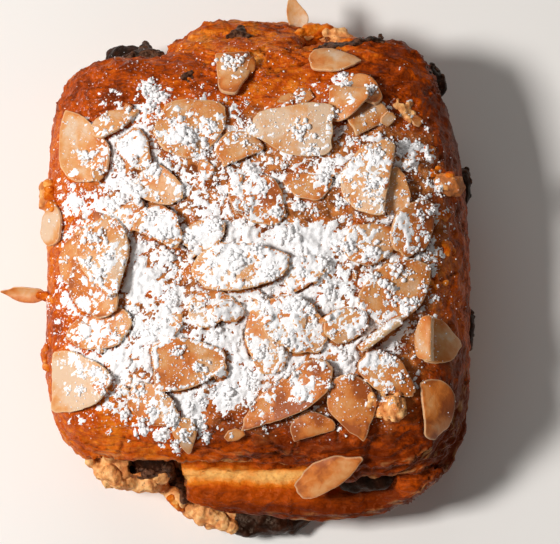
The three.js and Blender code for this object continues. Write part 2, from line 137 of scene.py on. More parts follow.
def evenSkin(mesh, voxel):
    # points and quads of one even skin round all that the mesh holds
    holder = bpy.data.objects.new("copy", mesh)
    bpy.context.scene.collection.objects.link(holder)
    even = holder.modifiers.new("even", "REMESH")
    even.mode = "VOXEL"
    even.voxel_size = voxel * mm
    done = holder.evaluated_get(bpy.context.evaluated_depsgraph_get()).to_mesh()
    points = np.empty(len(done.vertices) * 3)
    done.vertices.foreach_get("co", points)
    faces = np.empty(len(done.loops), int)
    done.loops.foreach_get("vertex_index", faces)
    bpy.data.objects.remove(holder)
    bpy.data.meshes.remove(mesh)
    return points.reshape(-1, 3) / mm, faces.reshape(-1, 4)


def remeshed(name, voxel):
    # a CAD node's copy, evenly remeshed
    shape = nodeShape(name)
    mesh = bpy.data.meshes.new("copy")
    shape.to_mesh(mesh)
    shape.free()
    return evenSkin(mesh, voxel)


def fused(points, faces, voxel):
    # shapes that overlap, as one
    mesh = bpy.data.meshes.new("copy")
    mesh.from_pydata(points * mm, [], faces)
    return evenSkin(mesh, voxel)


def normalsOf(points, faces):
    across = np.cross(points[faces[:, 2]] - points[faces[:, 0]], points[faces[:, -1]] - points[faces[:, 1]])
    normals = np.zeros_like(points)
    for corner in faces.T:
        np.add.at(normals, corner, across)
    return normals / np.maximum(np.linalg.norm(normals, axis=1), 1e-9)[:, None]


def triangles(faces):
    if faces.shape[1] == 3:
        return faces
    return np.concatenate([faces[:, [0, 1, 2]], faces[:, [0, 2, 3]]])


def joined(parts):
    # one points array and one faces array from many
    starts = np.cumsum([0] + [len(points) for points, _ in parts])
    points = np.concatenate([part[0] for part in parts])
    faces = np.concatenate([part[1] + start for part, start in zip(parts, starts)])
    return points, faces


def makePiece(name, points, faces, finish, slot, nodes=(), **values):
    # values are numbers for each point, which the finish reads by name
    mesh = bpy.data.meshes.new(name)
    mesh.from_pydata(points * mm, [], faces)
    mesh.shade_smooth()
    for word, numbers in values.items():
        kind, field = ("FLOAT", "value") if np.ndim(numbers) == 1 else ("FLOAT_VECTOR", "vector")
        layer = mesh.attributes.new(word, kind, "POINT")
        layer.data.foreach_set(field, np.asarray(numbers, np.float32).ravel())
    mesh.materials.append(finish)
    piece = bpy.data.objects.new(name, mesh)
    bpy.context.scene.collection.objects.link(piece)
    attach(piece, "root")
    if nodes:
        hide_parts(*nodes)
    print(name, "made:", len(triangles(faces)), "triangles")


# Shared tools: finishes. newFinish opens a node tree, and the others add to the one that is open.

def tone(screen):
    # a colour as seen on screen, 0 to 255, in Blender's own linear values
    part = [v / 255 for v in screen]
    return [v / 12.92 if v < 0.04045 else ((v + 0.055) / 1.055) ** 2.4 for v in part] + [1]


def newFinish(name):
    global tree
    finish = bpy.data.materials.new(name)
    finish.use_nodes = True
    tree = finish.node_tree
    return finish


def fillIn(node, sockets):
    for socket, value in sockets.items():
        if isinstance(value, bpy.types.NodeSocket):
            tree.links.new(value, node.inputs[socket])
        else:
            node.inputs[socket].default_value = value


def dress(sockets):
    fillIn(tree.nodes["Principled BSDF"], sockets)


def added(kind, sockets, **settings):
    # outputs of a new node
    node = tree.nodes.new("ShaderNode" + kind)
    for word, value in settings.items():
        setattr(node, word, value)
    fillIn(node, sockets)
    return node.outputs


def attribute(name, output="Fac"):
    return added("Attribute", {}, attribute_name=name)[output]


def scaledPlace(span, stretch=(1, 1, 1), place=None):
    if place is None:
        place = added("TexCoord", {})["Object"]
    return added("Mapping", {"Vector": place, "Scale": [s / span / mm for s in stretch]})["Vector"]


def grain(span, detail=3, stretch=(1, 1, 1), place=None, twist=0):
    # noise in lumps about span millimetres long
    place = scaledPlace(span, stretch, place)
    return added("TexNoise", {"Vector": place, "Scale": 1.0, "Detail": detail, "Distortion": twist})[0]


def dimples(span):
    # rounded cells about span millimetres wide, 0 at the middle of each
    return added("TexVoronoi", {"Vector": scaledPlace(span), "Scale": 1.0})["Distance"]


def sums(way, first, *others, **settings):
    for other in others:
        first = added("Math", {0: first, 1: other}, operation=way, **settings)[0]
    return first


def ranged(value, low, high, toLow=0.0, toHigh=1.0):
    sockets = dict(enumerate((value, low, high, toLow, toHigh)))
    return added("MapRange", sockets, interpolation_type="SMOOTHSTEP")[0]


def colours(value, *stops):
    # stops: where on the value each colour stands
    node = tree.nodes.new("ShaderNodeValToRGB")
    stop = node.color_ramp.elements
    stop.remove(stop[1])
    stop[0].position = stops[0][0]
    stop[0].color = tone(stops[0][1])
    for place, screen in stops[1:]:
        stop.new(place).color = tone(screen)
    fillIn(node, {0: value})
    return node.outputs[0]


def mixed(share, first, second, way="MIX"):
    return added("Mix", {0: share, 6: first, 7: second}, data_type="RGBA", blend_type=way)[2]


def bumps(*heights):
    # heights: (value, how deep in millimetres) for each kind of bump
    sockets = {}
    for height, depth in heights:
        sockets.update({"Height": height, "Distance": depth * mm})
        sockets["Normal"] = added("Bump", sockets)["Normal"]
    return sockets["Normal"]


# Camera, light and floor

camera = {
    "target": [4.84, -3.29, 25], "elevation": 80, "distance": 600, "lens": 175.3, "sensor": 36,
    "image": [560, 544], "clip": [10, 50000],
}
studio = {
    "floor": [236, 233, 229], "floorHalf": 4000, "floorBelow": 0.1, "aim": [0, 0, 20],
    "key": {"from": [-0.84, -0.12, 1.18], "away": 800, "size": 150, "watts": 6.4, "tint": [1, 0.98, 0.96]},
    "fill": {"from": [-0.1, -0.9, 0.75], "away": 900, "size": 900, "watts": 0.5, "tint": [1, 0.97, 0.94]},
    "back": {"from": [-0.15, 0.95, 0.65], "away": 900, "size": 700, "watts": 1.5, "tint": [1, 0.97, 0.94]},
    "sky": {"tint": [1, 0.98, 0.95, 1], "strength": 0.1},
}


def aim(thing, place, target):
    thing.location = place
    thing.rotation_euler = (Vector(target) - Vector(place)).to_track_quat("-Z", "Y").to_euler()
    bpy.context.scene.collection.objects.link(thing)


def setCamera():
    lens = bpy.data.cameras.new("camera")
    lens.lens = camera["lens"]
    lens.clip_start, lens.clip_end = (far * mm for far in camera["clip"])
    view = bpy.data.objects.new("camera", lens)
    rise = math.radians(camera["elevation"])
    target = Vector(camera["target"]) * mm
    aim(view, target + Vector((0, -math.cos(rise), math.sin(rise))) * camera["distance"] * mm, target)
    bpy.context.scene.camera = view


def setLights():
    for name in ("key", "fill", "back"):
        lamp = studio[name]
        light = bpy.data.lights.new(name, "AREA")
        light.energy = lamp["watts"]
        light.size = lamp["size"] * mm
        light.color = lamp["tint"]
        place = Vector(lamp["from"]).normalized() * lamp["away"] * mm
        aim(bpy.data.objects.new(name, light), place, Vector(studio["aim"]) * mm)
    world = bpy.data.worlds.new("sky")
    world.use_nodes = True
    sky = world.node_tree.nodes["Background"]
    sky.inputs["Color"].default_value = studio["sky"]["tint"]
    sky.inputs["Strength"].default_value = studio["sky"]["strength"]
    bpy.context.scene.world = world
    bpy.context.scene.view_settings.view_transform = "Standard"


def makeFloor():
    finish = newFinish("paleFloor")
    dress({"Base Color": tone(studio["floor"]), "Roughness": 0.8})
    far, low = studio["floorHalf"] * mm, -studio["floorBelow"] * mm
    mesh = bpy.data.meshes.new("floor")
    corners = [(-far, -far, low), (far, -far, low), (far, far, low), (-far, far, low)]
    mesh.from_pydata(corners, [], [[0, 1, 2, 3]])
    mesh.materials.append(finish)
    floor = bpy.data.objects.new("floor", mesh)
    bpy.context.scene.collection.objects.link(floor)


setCamera()
setLights()
makeFloor()
print("camera, lights and floor set")


# Sugar cover seen from above, used by the crust's finish and the sugar itself

dusting = {
    "middle": [-2, -3], "half": [46, 41], "corner": 4, "reach": [0.74, 1.05],
    "thinRight": [14, 40, 0.3], "thinBack": [20, 34, 0.45], "bareFront": [-44, -36],
    "bareCorner": [30, -20, 46, -42], "bareShare": [0.5, 1.1],  # front right, from where to where
}


def sugarShare(x, y):
    # 0 where the pastry is bare, 1 where the sugar lies thickest
    side = dusting["corner"]
    dx = np.abs(x - dusting["middle"][0]) / dusting["half"][0]
    dy = np.abs(y - dusting["middle"][1]) / dusting["half"][1]
    share = 1 - smooth(*dusting["reach"], (dx ** side + dy ** side) ** (1 / side))
    for line, along in (("thinRight", x), ("thinBack", y)):
        start, end, loss = dusting[line]
        share = share * (1 - loss * smooth(start, end, along))
    startX, startY, endX, endY = dusting["bareCorner"]
    corner = (x - startX) / (endX - startX) + (y - startY) / (endY - startY)
    share = share * (1 - smooth(*dusting["bareShare"], corner))
    return share * smooth(*dusting["bareFront"], y)


# Crust

crust = {
    "voxel": 0.6, "flatHidden": 4, "hidden": [0.02, 0.25],
    "half": [46.4, 45.5], "corner": 6,  # the roll's plan
    # past the filling's channel: share of the plan, heights above and below it
    "outside": {"plan": [0.9, 0.97], "above": [27.5, 29.5], "below": [2.5, 4.5]},
    "upward": [0.2, 0.75], "end": [36, 45], "free": [0.3, 3],
    "tongue": {"out": [45, 47], "above": [8.5, 10], "below": [20.5, 22], "front": [40, 44],
               "right": [32, 38]},
    "shoulder": {"back": [22, 38], "front": [34, 42], "above": [14, 22]},
    "layerCorner": {"right": [20, 38], "front": [18, 36]},
    "swell": {"high": 0.6, "span": 15, "above": [18, 34]},
    "blister": {"high": 0.5, "span": 6.5, "edge": [0.1, 0.5], "least": 0.35},
    "wrinkle": {"high": 0.7, "span": 3.2, "stretch": [0.36, 1, 1], "wander": 2.4, "wanderSpan": 9,
                "sharp": 2.2, "least": 0.12, "tongue": 0.45},
    "crinkle": {"high": 0.34, "span": 2.0, "stretch": [0.7, 1, 1], "above": [8, 16]},
    "rightWall": {"high": 0.45, "span": 3, "stretch": [1, 0.6, 1], "from": [37, 43], "above": [4, 10]},
    "ledge": {"high": 1.0, "pitch": 2.7, "drift": 1.5, "driftSpan": 13, "lump": 1.2, "lumpSpan": 15,
              "bend": 0.35, "bendSpan": 22, "side": 0.22, "wall": 0.4, "above": [4, 9], "rise": [0, 0.22],
              "slope": 0.8, "middle": 0.35, "tongueLess": 0.35, "cornerMore": 0.6,
              "darkLow": [0, 0.2], "darkHigh": [0.93, 1], "cornerEdge": 0.3, "most": 1.2, "leafLong": 0.12},
    "crack": {"deep": 0.5, "span": 11, "width": 0.05, "above": [20, 30], "end": [30, 40], "right": [34, 42],
              "patch": [-0.1, 0.3], "patchSpan": 9},
    "faceUp": [0, 0.3],  # slope of the faces that the next two lift
    "crease": {"from": 38, "soft": 3, "high": 37.5, "fall": 0.062, "most": 9, "left": [-25, -10],
               "right": [5, 20], "above": [14, 20]},
    "join": {"from": -45, "soft": [0.5, 1.5], "high": 26, "fall": 0.55, "most": 7, "left": [26, 33],
             "above": [13, 17]},  # lid and tongue, front right
    "backEdge": {"by": 1.2, "more": 5.6, "across": [-8, -26], "out": [38, 56]},  # drawn in on the left
    "frontEdge": {"by": 2.2, "across": [25, -16], "out": [46, 55], "above": [6, 9],
                  "side": 1.3, "sideAcross": [-6, -19], "sideOut": [46, 48]},  # and the front tongue too
    "flap": {"at": 23, "front": 38, "soft": 3, "wide": 13, "full": 2, "edge": [-0.4, 0.4], "high": 0.9,
             "skew": 0.35, "skewFrom": 45, "ragged": 0.8, "raggedSpan": 4,
             "above": [19, 23]},  # a sheet's edge on the front of the lid
    "skim": {"middle": [3, -4], "half": [43, 38], "reach": [0.74, 1.0], "ragged": 0.1, "raggedSpan": 8,
             "above": [26, 31], "lump": 0.5, "lumpSpan": 3.2},
    # browning: by how much, and from where to where across, along and up
    "browning": 0.48,
    "browner": [(0.1, None, None, (12, 36)), (0.3, (-24, 14), (-20, -38)), (0.3, (14, 34), (0, 30)),
                (-0.06, (26, 10), (40, 50)), (0.16, (-14, -36), (22, 34)), (0.2, (37, 43), None, (4, 10))],
    "uneven": [(0.14, 18, 8), (0.08, 6, 7)],  # by how much, in lumps how long, and their turn
    "ridgeBrown": 0.1,
    "baseGold": {"by": 0.3, "below": [4, 14], "patch": [-0.2, 0.4], "patchSpan": 11},
    "tongueGold": 0.14,
    # the front tongue darkens outward and to the right: partly its browning, partly painted shade where its
    # face turns down from the light
    "tongueBrownAndShade": [(0.6, None, (-47.5, -51.5)), (0.3, None, (-52.5, -55.5)), (0.25, (10, 30))],
    "tongueStreak": {"by": 0.12, "span": 2.4, "stretch": [0.2, 1, 1]},
    "dustBack": [(0.3, (20, -10), (4, 20), (24, 34))],
    # painted shade, with its own dark colour below: how strong it is under the ledges, in the cracks and
    # inside the filling's channel
    "shade": {"under": 0.75, "crack": 0.8, "inside": 0.8},
    "even": {"tongue": 0.55, "front": 0.25, "from": [30, 40]},
    "pale": [242, 184, 104], "gold": [222, 119, 26], "brown": [188, 75, 5], "dark": [110, 35, 1],
    "edge": [222, 164, 102], "dust": [240, 236, 236], "hollow": [58, 24, 9],
    "skimLight": [196, 122, 64], "skimDark": [108, 54, 24], "gloss": [1, 0.64, 0.3, 1],
}


def crustFinish():
    finish = newFinish("bakedCrust")
    fibres = grain(1.5, 4, (0.34, 1, 1), twist=1.4)
    bubbles = dimples(1.7)
    mottle = sums("ADD", ranged(grain(6, 5, twist=0.8), 0.3, 0.7, -0.15, 0.15),
                  ranged(fibres, 0.3, 0.7, -0.1, 0.1), ranged(bubbles, 0.1, 0.7, -0.04, 0.04),
                  ranged(grain(0.6, 3), 0.32, 0.7, -0.08, 0.08))
    mottled = sums("ADD", attribute("browning"), sums("MULTIPLY", mottle, attribute("uneven")))
    colour = colours(mottled, (0.05, crust["pale"]), (0.35, crust["gold"]), (0.62, crust["brown"]),
                     (0.95, crust["dark"]))
    edge = attribute("layerEdge")
    leaves = grain(0.55, 2, place=attribute("layerPlace", "Vector"))
    broken = sums("MULTIPLY", edge, ranged(grain(4.5, 4), 0.42, 0.62), ranged(leaves, 0.45, 0.65, 0, 0.45))
    colour = mixed(broken, colour, tone(crust["edge"]))
    # painted shade in the dips between the leaves of the cut layers
    gaps = sums("MULTIPLY", edge, ranged(leaves, 0.42, 0.3, 0, 0.75))
    colour = mixed(gaps, colour, tone(crust["dark"]))
    baked = ranged(grain(2.4, 5, twist=0.5), 0.34, 0.64)
    skimmed = sums("MULTIPLY", attribute("skim"), ranged(grain(3.4, 4), 0.3, 0.5, 0.35, 0.95))
    colour = mixed(skimmed, colour, mixed(baked, tone(crust["skimDark"]), tone(crust["skimLight"])))
    # painted shade: darker under the ledges, in the cracks and inside the filling's channel
    colour = mixed(attribute("hollow"), colour, tone(crust["hollow"]), "MULTIPLY")
    dusted = sums("MULTIPLY", ranged(grain(0.5, 1), 0.62, 0.7), ranged(grain(4, 3), 0.4, 0.6),
                  attribute("dusted"))
    dress({
        "Base Color": mixed(dusted, colour, tone(crust["dust"])),
        "Roughness": ranged(grain(3.5, 3), 0.3, 0.7, 0.3, 0.52),
        "Specular IOR Level": 0.17, "Specular Tint": crust["gloss"],
        "Subsurface Weight": 0.03, "Subsurface Radius": [0.003, 0.0012, 0.0004],
        "Normal": bumps((fibres, 0.4), (bubbles, -0.15), (sums("MULTIPLY", leaves, edge), 0.6),
                        (grain(1.0, 4), 0.3), (grain(0.3, 2), 0.07)),
    })
    return finish


def fewHidden(points, faces, hidden, flatter):
    # merges the even faces that nobody sees into few large ones, and cuts all into triangles
    mesh = bpy.data.meshes.new("copy")
    mesh.from_pydata(points, [], faces)
    shape = bmesh.new()
    shape.from_mesh(mesh)
    bpy.data.meshes.remove(mesh)
    corners = [v for v, away in zip(shape.verts, hidden) if away]
    edges = [e for e in shape.edges if hidden[e.verts[0].index] and hidden[e.verts[1].index]]
    bmesh.ops.dissolve_limit(shape, angle_limit=math.radians(flatter), verts=corners, edges=edges)
    bmesh.ops.triangulate(shape, faces=shape.faces)
    shape.verts.index_update()
    points = np.array([v.co for v in shape.verts])
    faces = np.array([[v.index for v in f.verts] for f in shape.faces])
    shape.free()
    return points, faces


def planReach(points):
    # 1 on the roll's outline seen from above, less inside it
    side = crust["corner"]
    return (np.abs(points[:, :2] / crust["half"]) ** side).sum(axis=1) ** (1 / side)


def inView(points):
    # 0 on the filling's channel, 1 on the outside
    z = points[:, 2]
    out = crust["outside"]
    beside = smooth(*out["plan"], planReach(points))
    return np.maximum.reduce([beside, smooth(*out["above"], z), 1 - smooth(*out["below"], z)])


def drawnIn(points):
    # the ends of the back and of the front tongue, as uneven as they are
    x, y, z = points.T
    back, front = crust["backEdge"], crust["frontEdge"]
    pull = -(back["by"] + back["more"] * smooth(*back["across"], x)) * smooth(*back["out"], y)
    above = smooth(*front["above"], z)
    pull = pull + front["by"] * smooth(*front["across"], x) * smooth(*front["out"], -y) * above
    slide = front["side"] * smooth(*front["sideAcross"], x) * smooth(*front["sideOut"], -y) * above
    return points + columns(slide, pull, 0 * pull)


def fillCrease(points, normals):
    # the sheet runs on from the lid to the back, and at the front right to the tongue, without a step
    x, y, z = points.T
    faceUp = smooth(*crust["faceUp"], normals[:, 2])
    fill, join = crust["crease"], crust["join"]
    wanted = fill["high"] - fill["fall"] * (y - fill["from"]) ** 2
    there = smooth(*fill["left"], x) * (1 - smooth(*fill["right"], x)) * smooth(*fill["above"], z)
    there = there * smooth(fill["from"], fill["from"] + fill["soft"], y) * faceUp
    rise = there * np.clip(wanted - z, 0, fill["most"])
    wanted = join["high"] - join["fall"] * (join["from"] - y)
    there = smooth(*join["left"], x) * smooth(*join["soft"], join["from"] - y)
    rise = rise + there * faceUp * smooth(*join["above"], z) * np.clip(wanted - z, 0, join["most"])
    return points + np.outer(rise, [0, 0, 1])


def skimShare(x, y):
    # where a thin skim of almond cream was baked on top, under the almonds
    skim = crust["skim"]
    dx, dy = (x - skim["middle"][0]) / skim["half"][0], (y - skim["middle"][1]) / skim["half"][1]
    ragged = skim["ragged"] * crumbly(flatPoints(x, y), skim["raggedSpan"], 3, 51)
    return 1 - smooth(*skim["reach"], (dx ** 4 + dy ** 4) ** 0.25 + ragged)


def makeCrust():
    points, faces = remeshed("dough", crust["voxel"])
    inside, base = crust["hidden"]
    hidden = (inView(points) < inside) | (points[:, 2] < base)
    points, faces = fewHidden(points, faces, hidden, crust["flatHidden"])
    points = drawnIn(fillCrease(points, normalsOf(points, faces)))
    normals = normalsOf(points, faces)
    x, y, z = points.T
    shown = inView(points)
    upward = smooth(*crust["upward"], normals[:, 2])
    end = smooth(*crust["end"], np.abs(y))
    span = crust["tongue"]
    tongue = smooth(*span["out"], np.abs(y)) * smooth(*span["above"], z) * (1 - smooth(*span["below"], z))
    frontTongue = tongue * smooth(*span["front"], -y) * (1 - smooth(*span["right"], x))
    span = crust["shoulder"]
    shoulder = np.maximum(smooth(*span["back"], y), smooth(*span["front"], -y)) * smooth(*span["above"], z)
    span = crust["layerCorner"]
    corner = smooth(*span["right"], x) * smooth(*span["front"], -y)

    # the sheet swells, blisters and wrinkles
    swell, blister, wrinkle, crinkle = (crust[word] for word in ("swell", "blister", "wrinkle", "crinkle"))
    move = swell["high"] * lumps(points, swell["span"], 1) * smooth(*swell["above"], z)
    near, _ = cells(points, blister["span"], 2)
    dome = (1 - smooth(*blister["edge"], near)) * (blister["least"] + (1 - blister["least"]) * upward)
    move += blister["high"] * dome * (1 - tongue)
    wander = columns(*(lumps(points, wrinkle["wanderSpan"], turn) for turn in (30, 31, 32)))
    stretched = (points + wrinkle["wander"] * wander) * wrinkle["stretch"]
    ridge = 1 - np.clip(np.abs(crumbly(stretched, wrinkle["span"], 2, 3)) * wrinkle["sharp"], 0, 1)
    there = wrinkle["least"] + (1 - wrinkle["least"]) * np.maximum(shoulder, wrinkle["tongue"] * tongue)
    move += wrinkle["high"] * ridge ** 2 * there
    creased = crumbly(points * crinkle["stretch"], crinkle["span"], 2, 19)
    move += crinkle["high"] * creased * smooth(*crinkle["above"], z)
    skim = skimShare(x, y) * upward * smooth(*crust["skim"]["above"], z)
    move += crust["skim"]["lump"] * skim * crumbly(points, crust["skim"]["lumpSpan"], 3, 52)
    wall = crust["rightWall"]
    rightWall = smooth(*wall["from"], x) * smooth(*wall["above"], z)
    move += wall["high"] * rightWall * crumbly(points * wall["stretch"], wall["span"], 3, 53)
    flap = crust["flap"]
    off = x - flap["at"] - flap["skew"] * (y + flap["skewFrom"])
    off = off - flap["ragged"] * lumps(points, flap["raggedSpan"], 20)
    raised = smooth(-flap["wide"], -flap["full"], off) * (1 - smooth(*flap["edge"], off))
    raised = raised * smooth(*flap["above"], z)
    move += flap["high"] * raised * smooth(flap["front"], flap["front"] + flap["soft"], -y)

    # cut layers show as ledges across the open ends
    ledge = crust["ledge"]
    drift = ledge["drift"] * np.sin(x / ledge["driftSpan"])
    drift = drift + ledge["lump"] * lumps(flatPoints(x, y), ledge["lumpSpan"], 5)
    layer = (z + drift) / ledge["pitch"] + ledge["bend"] * lumps(points, ledge["bendSpan"], 6)
    part = layer - np.floor(layer)
    step = smooth(*ledge["rise"], part) * (1 - ledge["slope"] * part) - ledge["middle"]
    most = np.maximum.reduce([ledge["side"] + (1 - ledge["side"]) * end, corner, ledge["wall"] * rightWall])
    layered = (1 - upward) * most * smooth(*ledge["above"], z)
    step = step * (1 - ledge["tongueLess"] * tongue) * (1 + ledge["cornerMore"] * corner)
    move += ledge["high"] * layered * step
    # painted shade along the step of each ledge, where one leaf overhangs the next
    under = layered * (1 - smooth(*ledge["darkLow"], part)) + layered * smooth(*ledge["darkHigh"], part)

    split = crust["crack"]
    near, second = cells(points * [1, 1, 0.7], split["span"], 9)
    crack = (1 - smooth(0, split["width"], second - near)) * smooth(*split["above"], z)
    crack *= np.maximum(smooth(*split["end"], np.abs(y)), smooth(*split["right"], x))
    crack *= smooth(*split["patch"], lumps(points, split["patchSpan"], 4))
    move -= split["deep"] * crack
    plain = points
    points = points + normals * (move * shown * smooth(*crust["free"], z))[:, None]

    # darker on the right, golden near the base and on top of the front tongue, and darker out on the tongue's
    # front face, partly browning and partly painted shade
    browning = ramps(plain, crust["browning"], crust["browner"]) + crust["ridgeBrown"] * ridge ** 3 * shoulder
    browning += sum(by * lumps(points, span, turn) for by, span, turn in crust["uneven"])
    gold = crust["baseGold"]
    patch = smooth(*gold["patch"], lumps(points, gold["patchSpan"], 12))
    browning -= gold["by"] * (1 - smooth(*gold["below"], z)) * patch
    streak = crust["tongueStreak"]
    # the tongue's tone, partly browning and partly painted shade on its outward face
    golden = ramps(plain, crust["tongueGold"], crust["tongueBrownAndShade"])
    golden += streak["by"] * lumps(points * streak["stretch"], streak["span"], 14)
    browning += (golden - browning) * frontTongue
    shade, even = crust["shade"], crust["even"]
    # painted shade under the ledges, in the cracks and inside the filling's channel
    hollow = shade["under"] * under * end + shade["crack"] * crack + shade["inside"] * (1 - shown)
    front = even["front"] * smooth(*even["from"], -y) * (1 - tongue)
    layerEdge = np.clip(layered * (1 + ledge["cornerEdge"] * corner), 0, ledge["most"])
    layerPlace = columns(layer * ledge["pitch"], x * ledge["leafLong"], y * ledge["leafLong"]) * mm
    makePiece("crust", points, faces, crustLook, "crust", ["dough"],
              browning=browning, layerEdge=layerEdge, layerPlace=layerPlace,
              hollow=np.clip(hollow, 0, 1), skim=skim, uneven=1 - even["tongue"] * tongue - front,
              dusted=np.maximum(sugarShare(x, y), ramps(plain, 0, crust["dustBack"])) * upward)
    return points, faces


crustLook = crustFinish()
crustSurface = makeCrust()


# Flaked almonds

flakes = {
    "count": 48, "steps": 4, "thick": 0.8, "wave": 0.32, "waveSpan": 4.5, "nibble": 0.035, "nibbleSpan": 1.3,
    "apart": 40,  # so that no two flakes have the same grain
    # share of the reach and of the half thickness, from the middle of the top face to that of the lower one
    "rings": [(0.3, 1), (0.6, 1), (0.86, 1), (0.975, 0.96), (0.995, 0.75), (1, 0.3),
              (0.995, -0.5), (0.975, -0.9), (0.93, -1), (0.7, -1), (0.35, -1)],
    # how far each flake is toasted, in the order of the nodes
    "toast": [.50, .50, .35, .80, .75, .60, .65, .55, .45, .40, .40, .60, .45, .50, .55, .45,
              .85, .55, .50, .55, .44, .40, .50, .60, .46, .60, .54, .14, .36, .70, .75, .30,
              .36, .14, .60, .45, .50, .45, .62, .30, .45, .84, .84, .86, .74, .60, .60, .25],
    # how much sugar fell on each
    "sugared": [.50, .50, .60, .75, .50, .60, .50, .90, .90, .70, .60, .80, .90, .90, .90, .90,
                .30, .20, .60, .25, .45, .75, .85, .40, .20, .50, .30, .85, .80, .70, .60, .30,
                .90, .50, 1.0, .95, .80, .75, .60, .30, .10, .10, .50, .30, .00, .95, .00, .00],
    "pale": [214, 182, 152], "tan": [210, 149, 92], "toasted": [200, 114, 46], "burnt": [156, 78, 28],
    "rim": [232, 200, 156], "dust": [246, 243, 243],
    # how far an end bends down towards what is below it, and how much of the flake stays
    "droop": 2.4, "droopShare": 0.75, "clear": 0.3, "tip": 0.6, "stays": 0.3,
}


def flakeFinish():
    finish = newFinish("flakedAlmond")
    place = attribute("flakePlace", "Vector")
    rim = attribute("rim")
    cloud = grain(6.5, 2, place=place, twist=0.3)
    mottle = grain(1.3, 4, place=place, twist=0.4)
    value = sums("ADD", attribute("toast"), ranged(cloud, 0.3, 0.7, -0.28, 0.28),
                 ranged(mottle, 0.3, 0.7, -0.1, 0.1), ranged(rim, 0.6, 0.98, -0.05, 0.1))
    colour = colours(value, (0.08, flakes["pale"]), (0.42, flakes["tan"]), (0.76, flakes["toasted"]),
                     (1.0, flakes["burnt"]))
    colour = mixed(ranged(rim, 0.93, 1.0, 0, 0.55), colour, tone(flakes["rim"]))
    dusted = sums("MULTIPLY", ranged(grain(0.5, 2), 0.6, 0.68), ranged(grain(3, 3), 0.48, 0.66, 0, 0.9),
                  attribute("dusted"))
    dress({
        "Base Color": mixed(dusted, colour, tone(flakes["dust"])),
        "Roughness": ranged(cloud, 0.3, 0.7, 0.36, 0.56), "Specular IOR Level": 0.28,
        "Subsurface Weight": 0.12, "Subsurface Radius": [0.0012, 0.0007, 0.0003],
        "Normal": bumps((cloud, 0.2), (mottle, 0.16), (grain(0.35, 2), 0.04)),
    })
    return finish


def roundLine(corners, steps):
    # smooth closed line through the corners
    before, after, beyond = (np.roll(corners, shift, axis=0) for shift in (1, -1, -2))
    t = (np.arange(steps) / steps)[None, :, None]
    c, b, a, f = (part[:, None] for part in (corners, before, after, beyond))
    line = 2 * c + (a - b) * t + (2 * b - 5 * c + 4 * a - f) * t ** 2 + (3 * c - b - 3 * a + f) * t ** 3
    return line.reshape(-1, corners.shape[1]) / 2


def brokenLine(corners, steps):
    # straight closed line from corner to corner
    share = (np.arange(steps) / steps)[None, :, None]
    line = corners[:, None] * (1 - share) + np.roll(corners, -1, axis=0)[:, None] * share
    return line.reshape(-1, corners.shape[1])


def flakeMesh(middle, axes, outline, half, turn, rimLine=roundLine):
    # a thin slice: outline has along, across and rise of its rim against the middle
    line = rimLine(outline, flakes["steps"])
    nibble = crumbly(flatPoints(line[:, 0], line[:, 1]), flakes["nibbleSpan"], 2, turn)
    line[:, :2] *= 1 + flakes["nibble"] * nibble[:, None]
    rows = [np.array([[0, 0, 0, 1]])]
    for reach, side in flakes["rings"]:
        sides = np.full((len(line), 1), side)
        rows.append(np.concatenate([line * [reach, reach, reach ** 2], sides], axis=1))
    rows.append(np.array([[0, 0, 0, -1]]))
    flat = np.concatenate(rows)
    wave = flakes["wave"] * lumps(flatPoints(flat[:, 0], flat[:, 1]), flakes["waveSpan"], turn)
    rise = flat[:, 2] + flat[:, 3] * half * flakes["thick"] + wave
    points = middle + flat[:, :2] @ axes[:2] + np.outer(rise, axes[2])
    count, rings = len(line), len(flakes["rings"])
    step = np.arange(count)
    after = (step + 1) % count
    faces = [columns(np.zeros(count, int), 1 + step, 1 + after)]
    for ring in range(rings - 1):
        upper, lower = 1 + ring * count, 1 + (ring + 1) * count
        faces.append(columns(upper + step, lower + step, lower + after))
        faces.append(columns(upper + step, lower + after, upper + after))
    last = 1 + (rings - 1) * count
    faces.append(columns(np.full(count, len(points) - 1), last + after, last + step))
    reach = np.concatenate([[0], np.repeat([r for r, _ in flakes["rings"]], count), [0]])
    place = columns(flat[:, 0] + flakes["apart"] * turn, flat[:, 1], flat[:, 3] * half) * mm
    return points, np.concatenate(faces), reach, place


def readFlake(name):
    # middle, axes, outline and half thickness of a flake's CAD node
    shape = nodeShape(name)
    hubs = sorted(shape.verts, key=lambda v: len(v.link_edges))[-2:]
    upper = max(hubs, key=lambda v: v.normal.z)
    lower = min(hubs, key=lambda v: v.normal.z)
    top, bottom = np.array(upper.co) / mm, np.array(lower.co) / mm
    rim = np.array([edge.other_vert(upper).co for edge in upper.link_edges]) / mm - top
    shape.free()
    up = (top - bottom) / np.linalg.norm(top - bottom)
    rise = rim @ up
    flat = rim - np.outer(rise, up)
    along = np.linalg.svd(flat)[2][0]
    across = np.cross(up, along)
    order = np.argsort(np.arctan2(flat @ across, flat @ along))
    outline = columns(flat @ along, flat @ across, rise)[order]
    return (top + bottom) / 2, np.array([along, across, up]), outline, np.linalg.norm(top - bottom) / 2


def makeAlmonds(name, made, toasts, finish, nodes=()):
    surface = joined([part[:2] for part in made])
    makePiece(name, *surface, finish, "almond", nodes,
              toast=np.repeat(toasts, [len(part[0]) for part in made]),
              rim=np.concatenate([part[2] for part in made]),
              flakePlace=np.concatenate([part[3] for part in made]),
              dusted=sugarShare(*surface[0][:, :2].T))
    return surface


def gapBelow(bed, point, own):
    # free height under a point, past the flake's own faces
    start = Vector(point) - Vector((0, 0, 0.1))
    for _ in range(4):
        hit, _, face, _ = bed.ray_cast(start, (0, 0, -1))
        if hit is None:
            return 0
        if not own[0] <= face < own[1]:
            return point[2] - hit.z
        start = hit - Vector((0, 0, 0.05))
    return 0


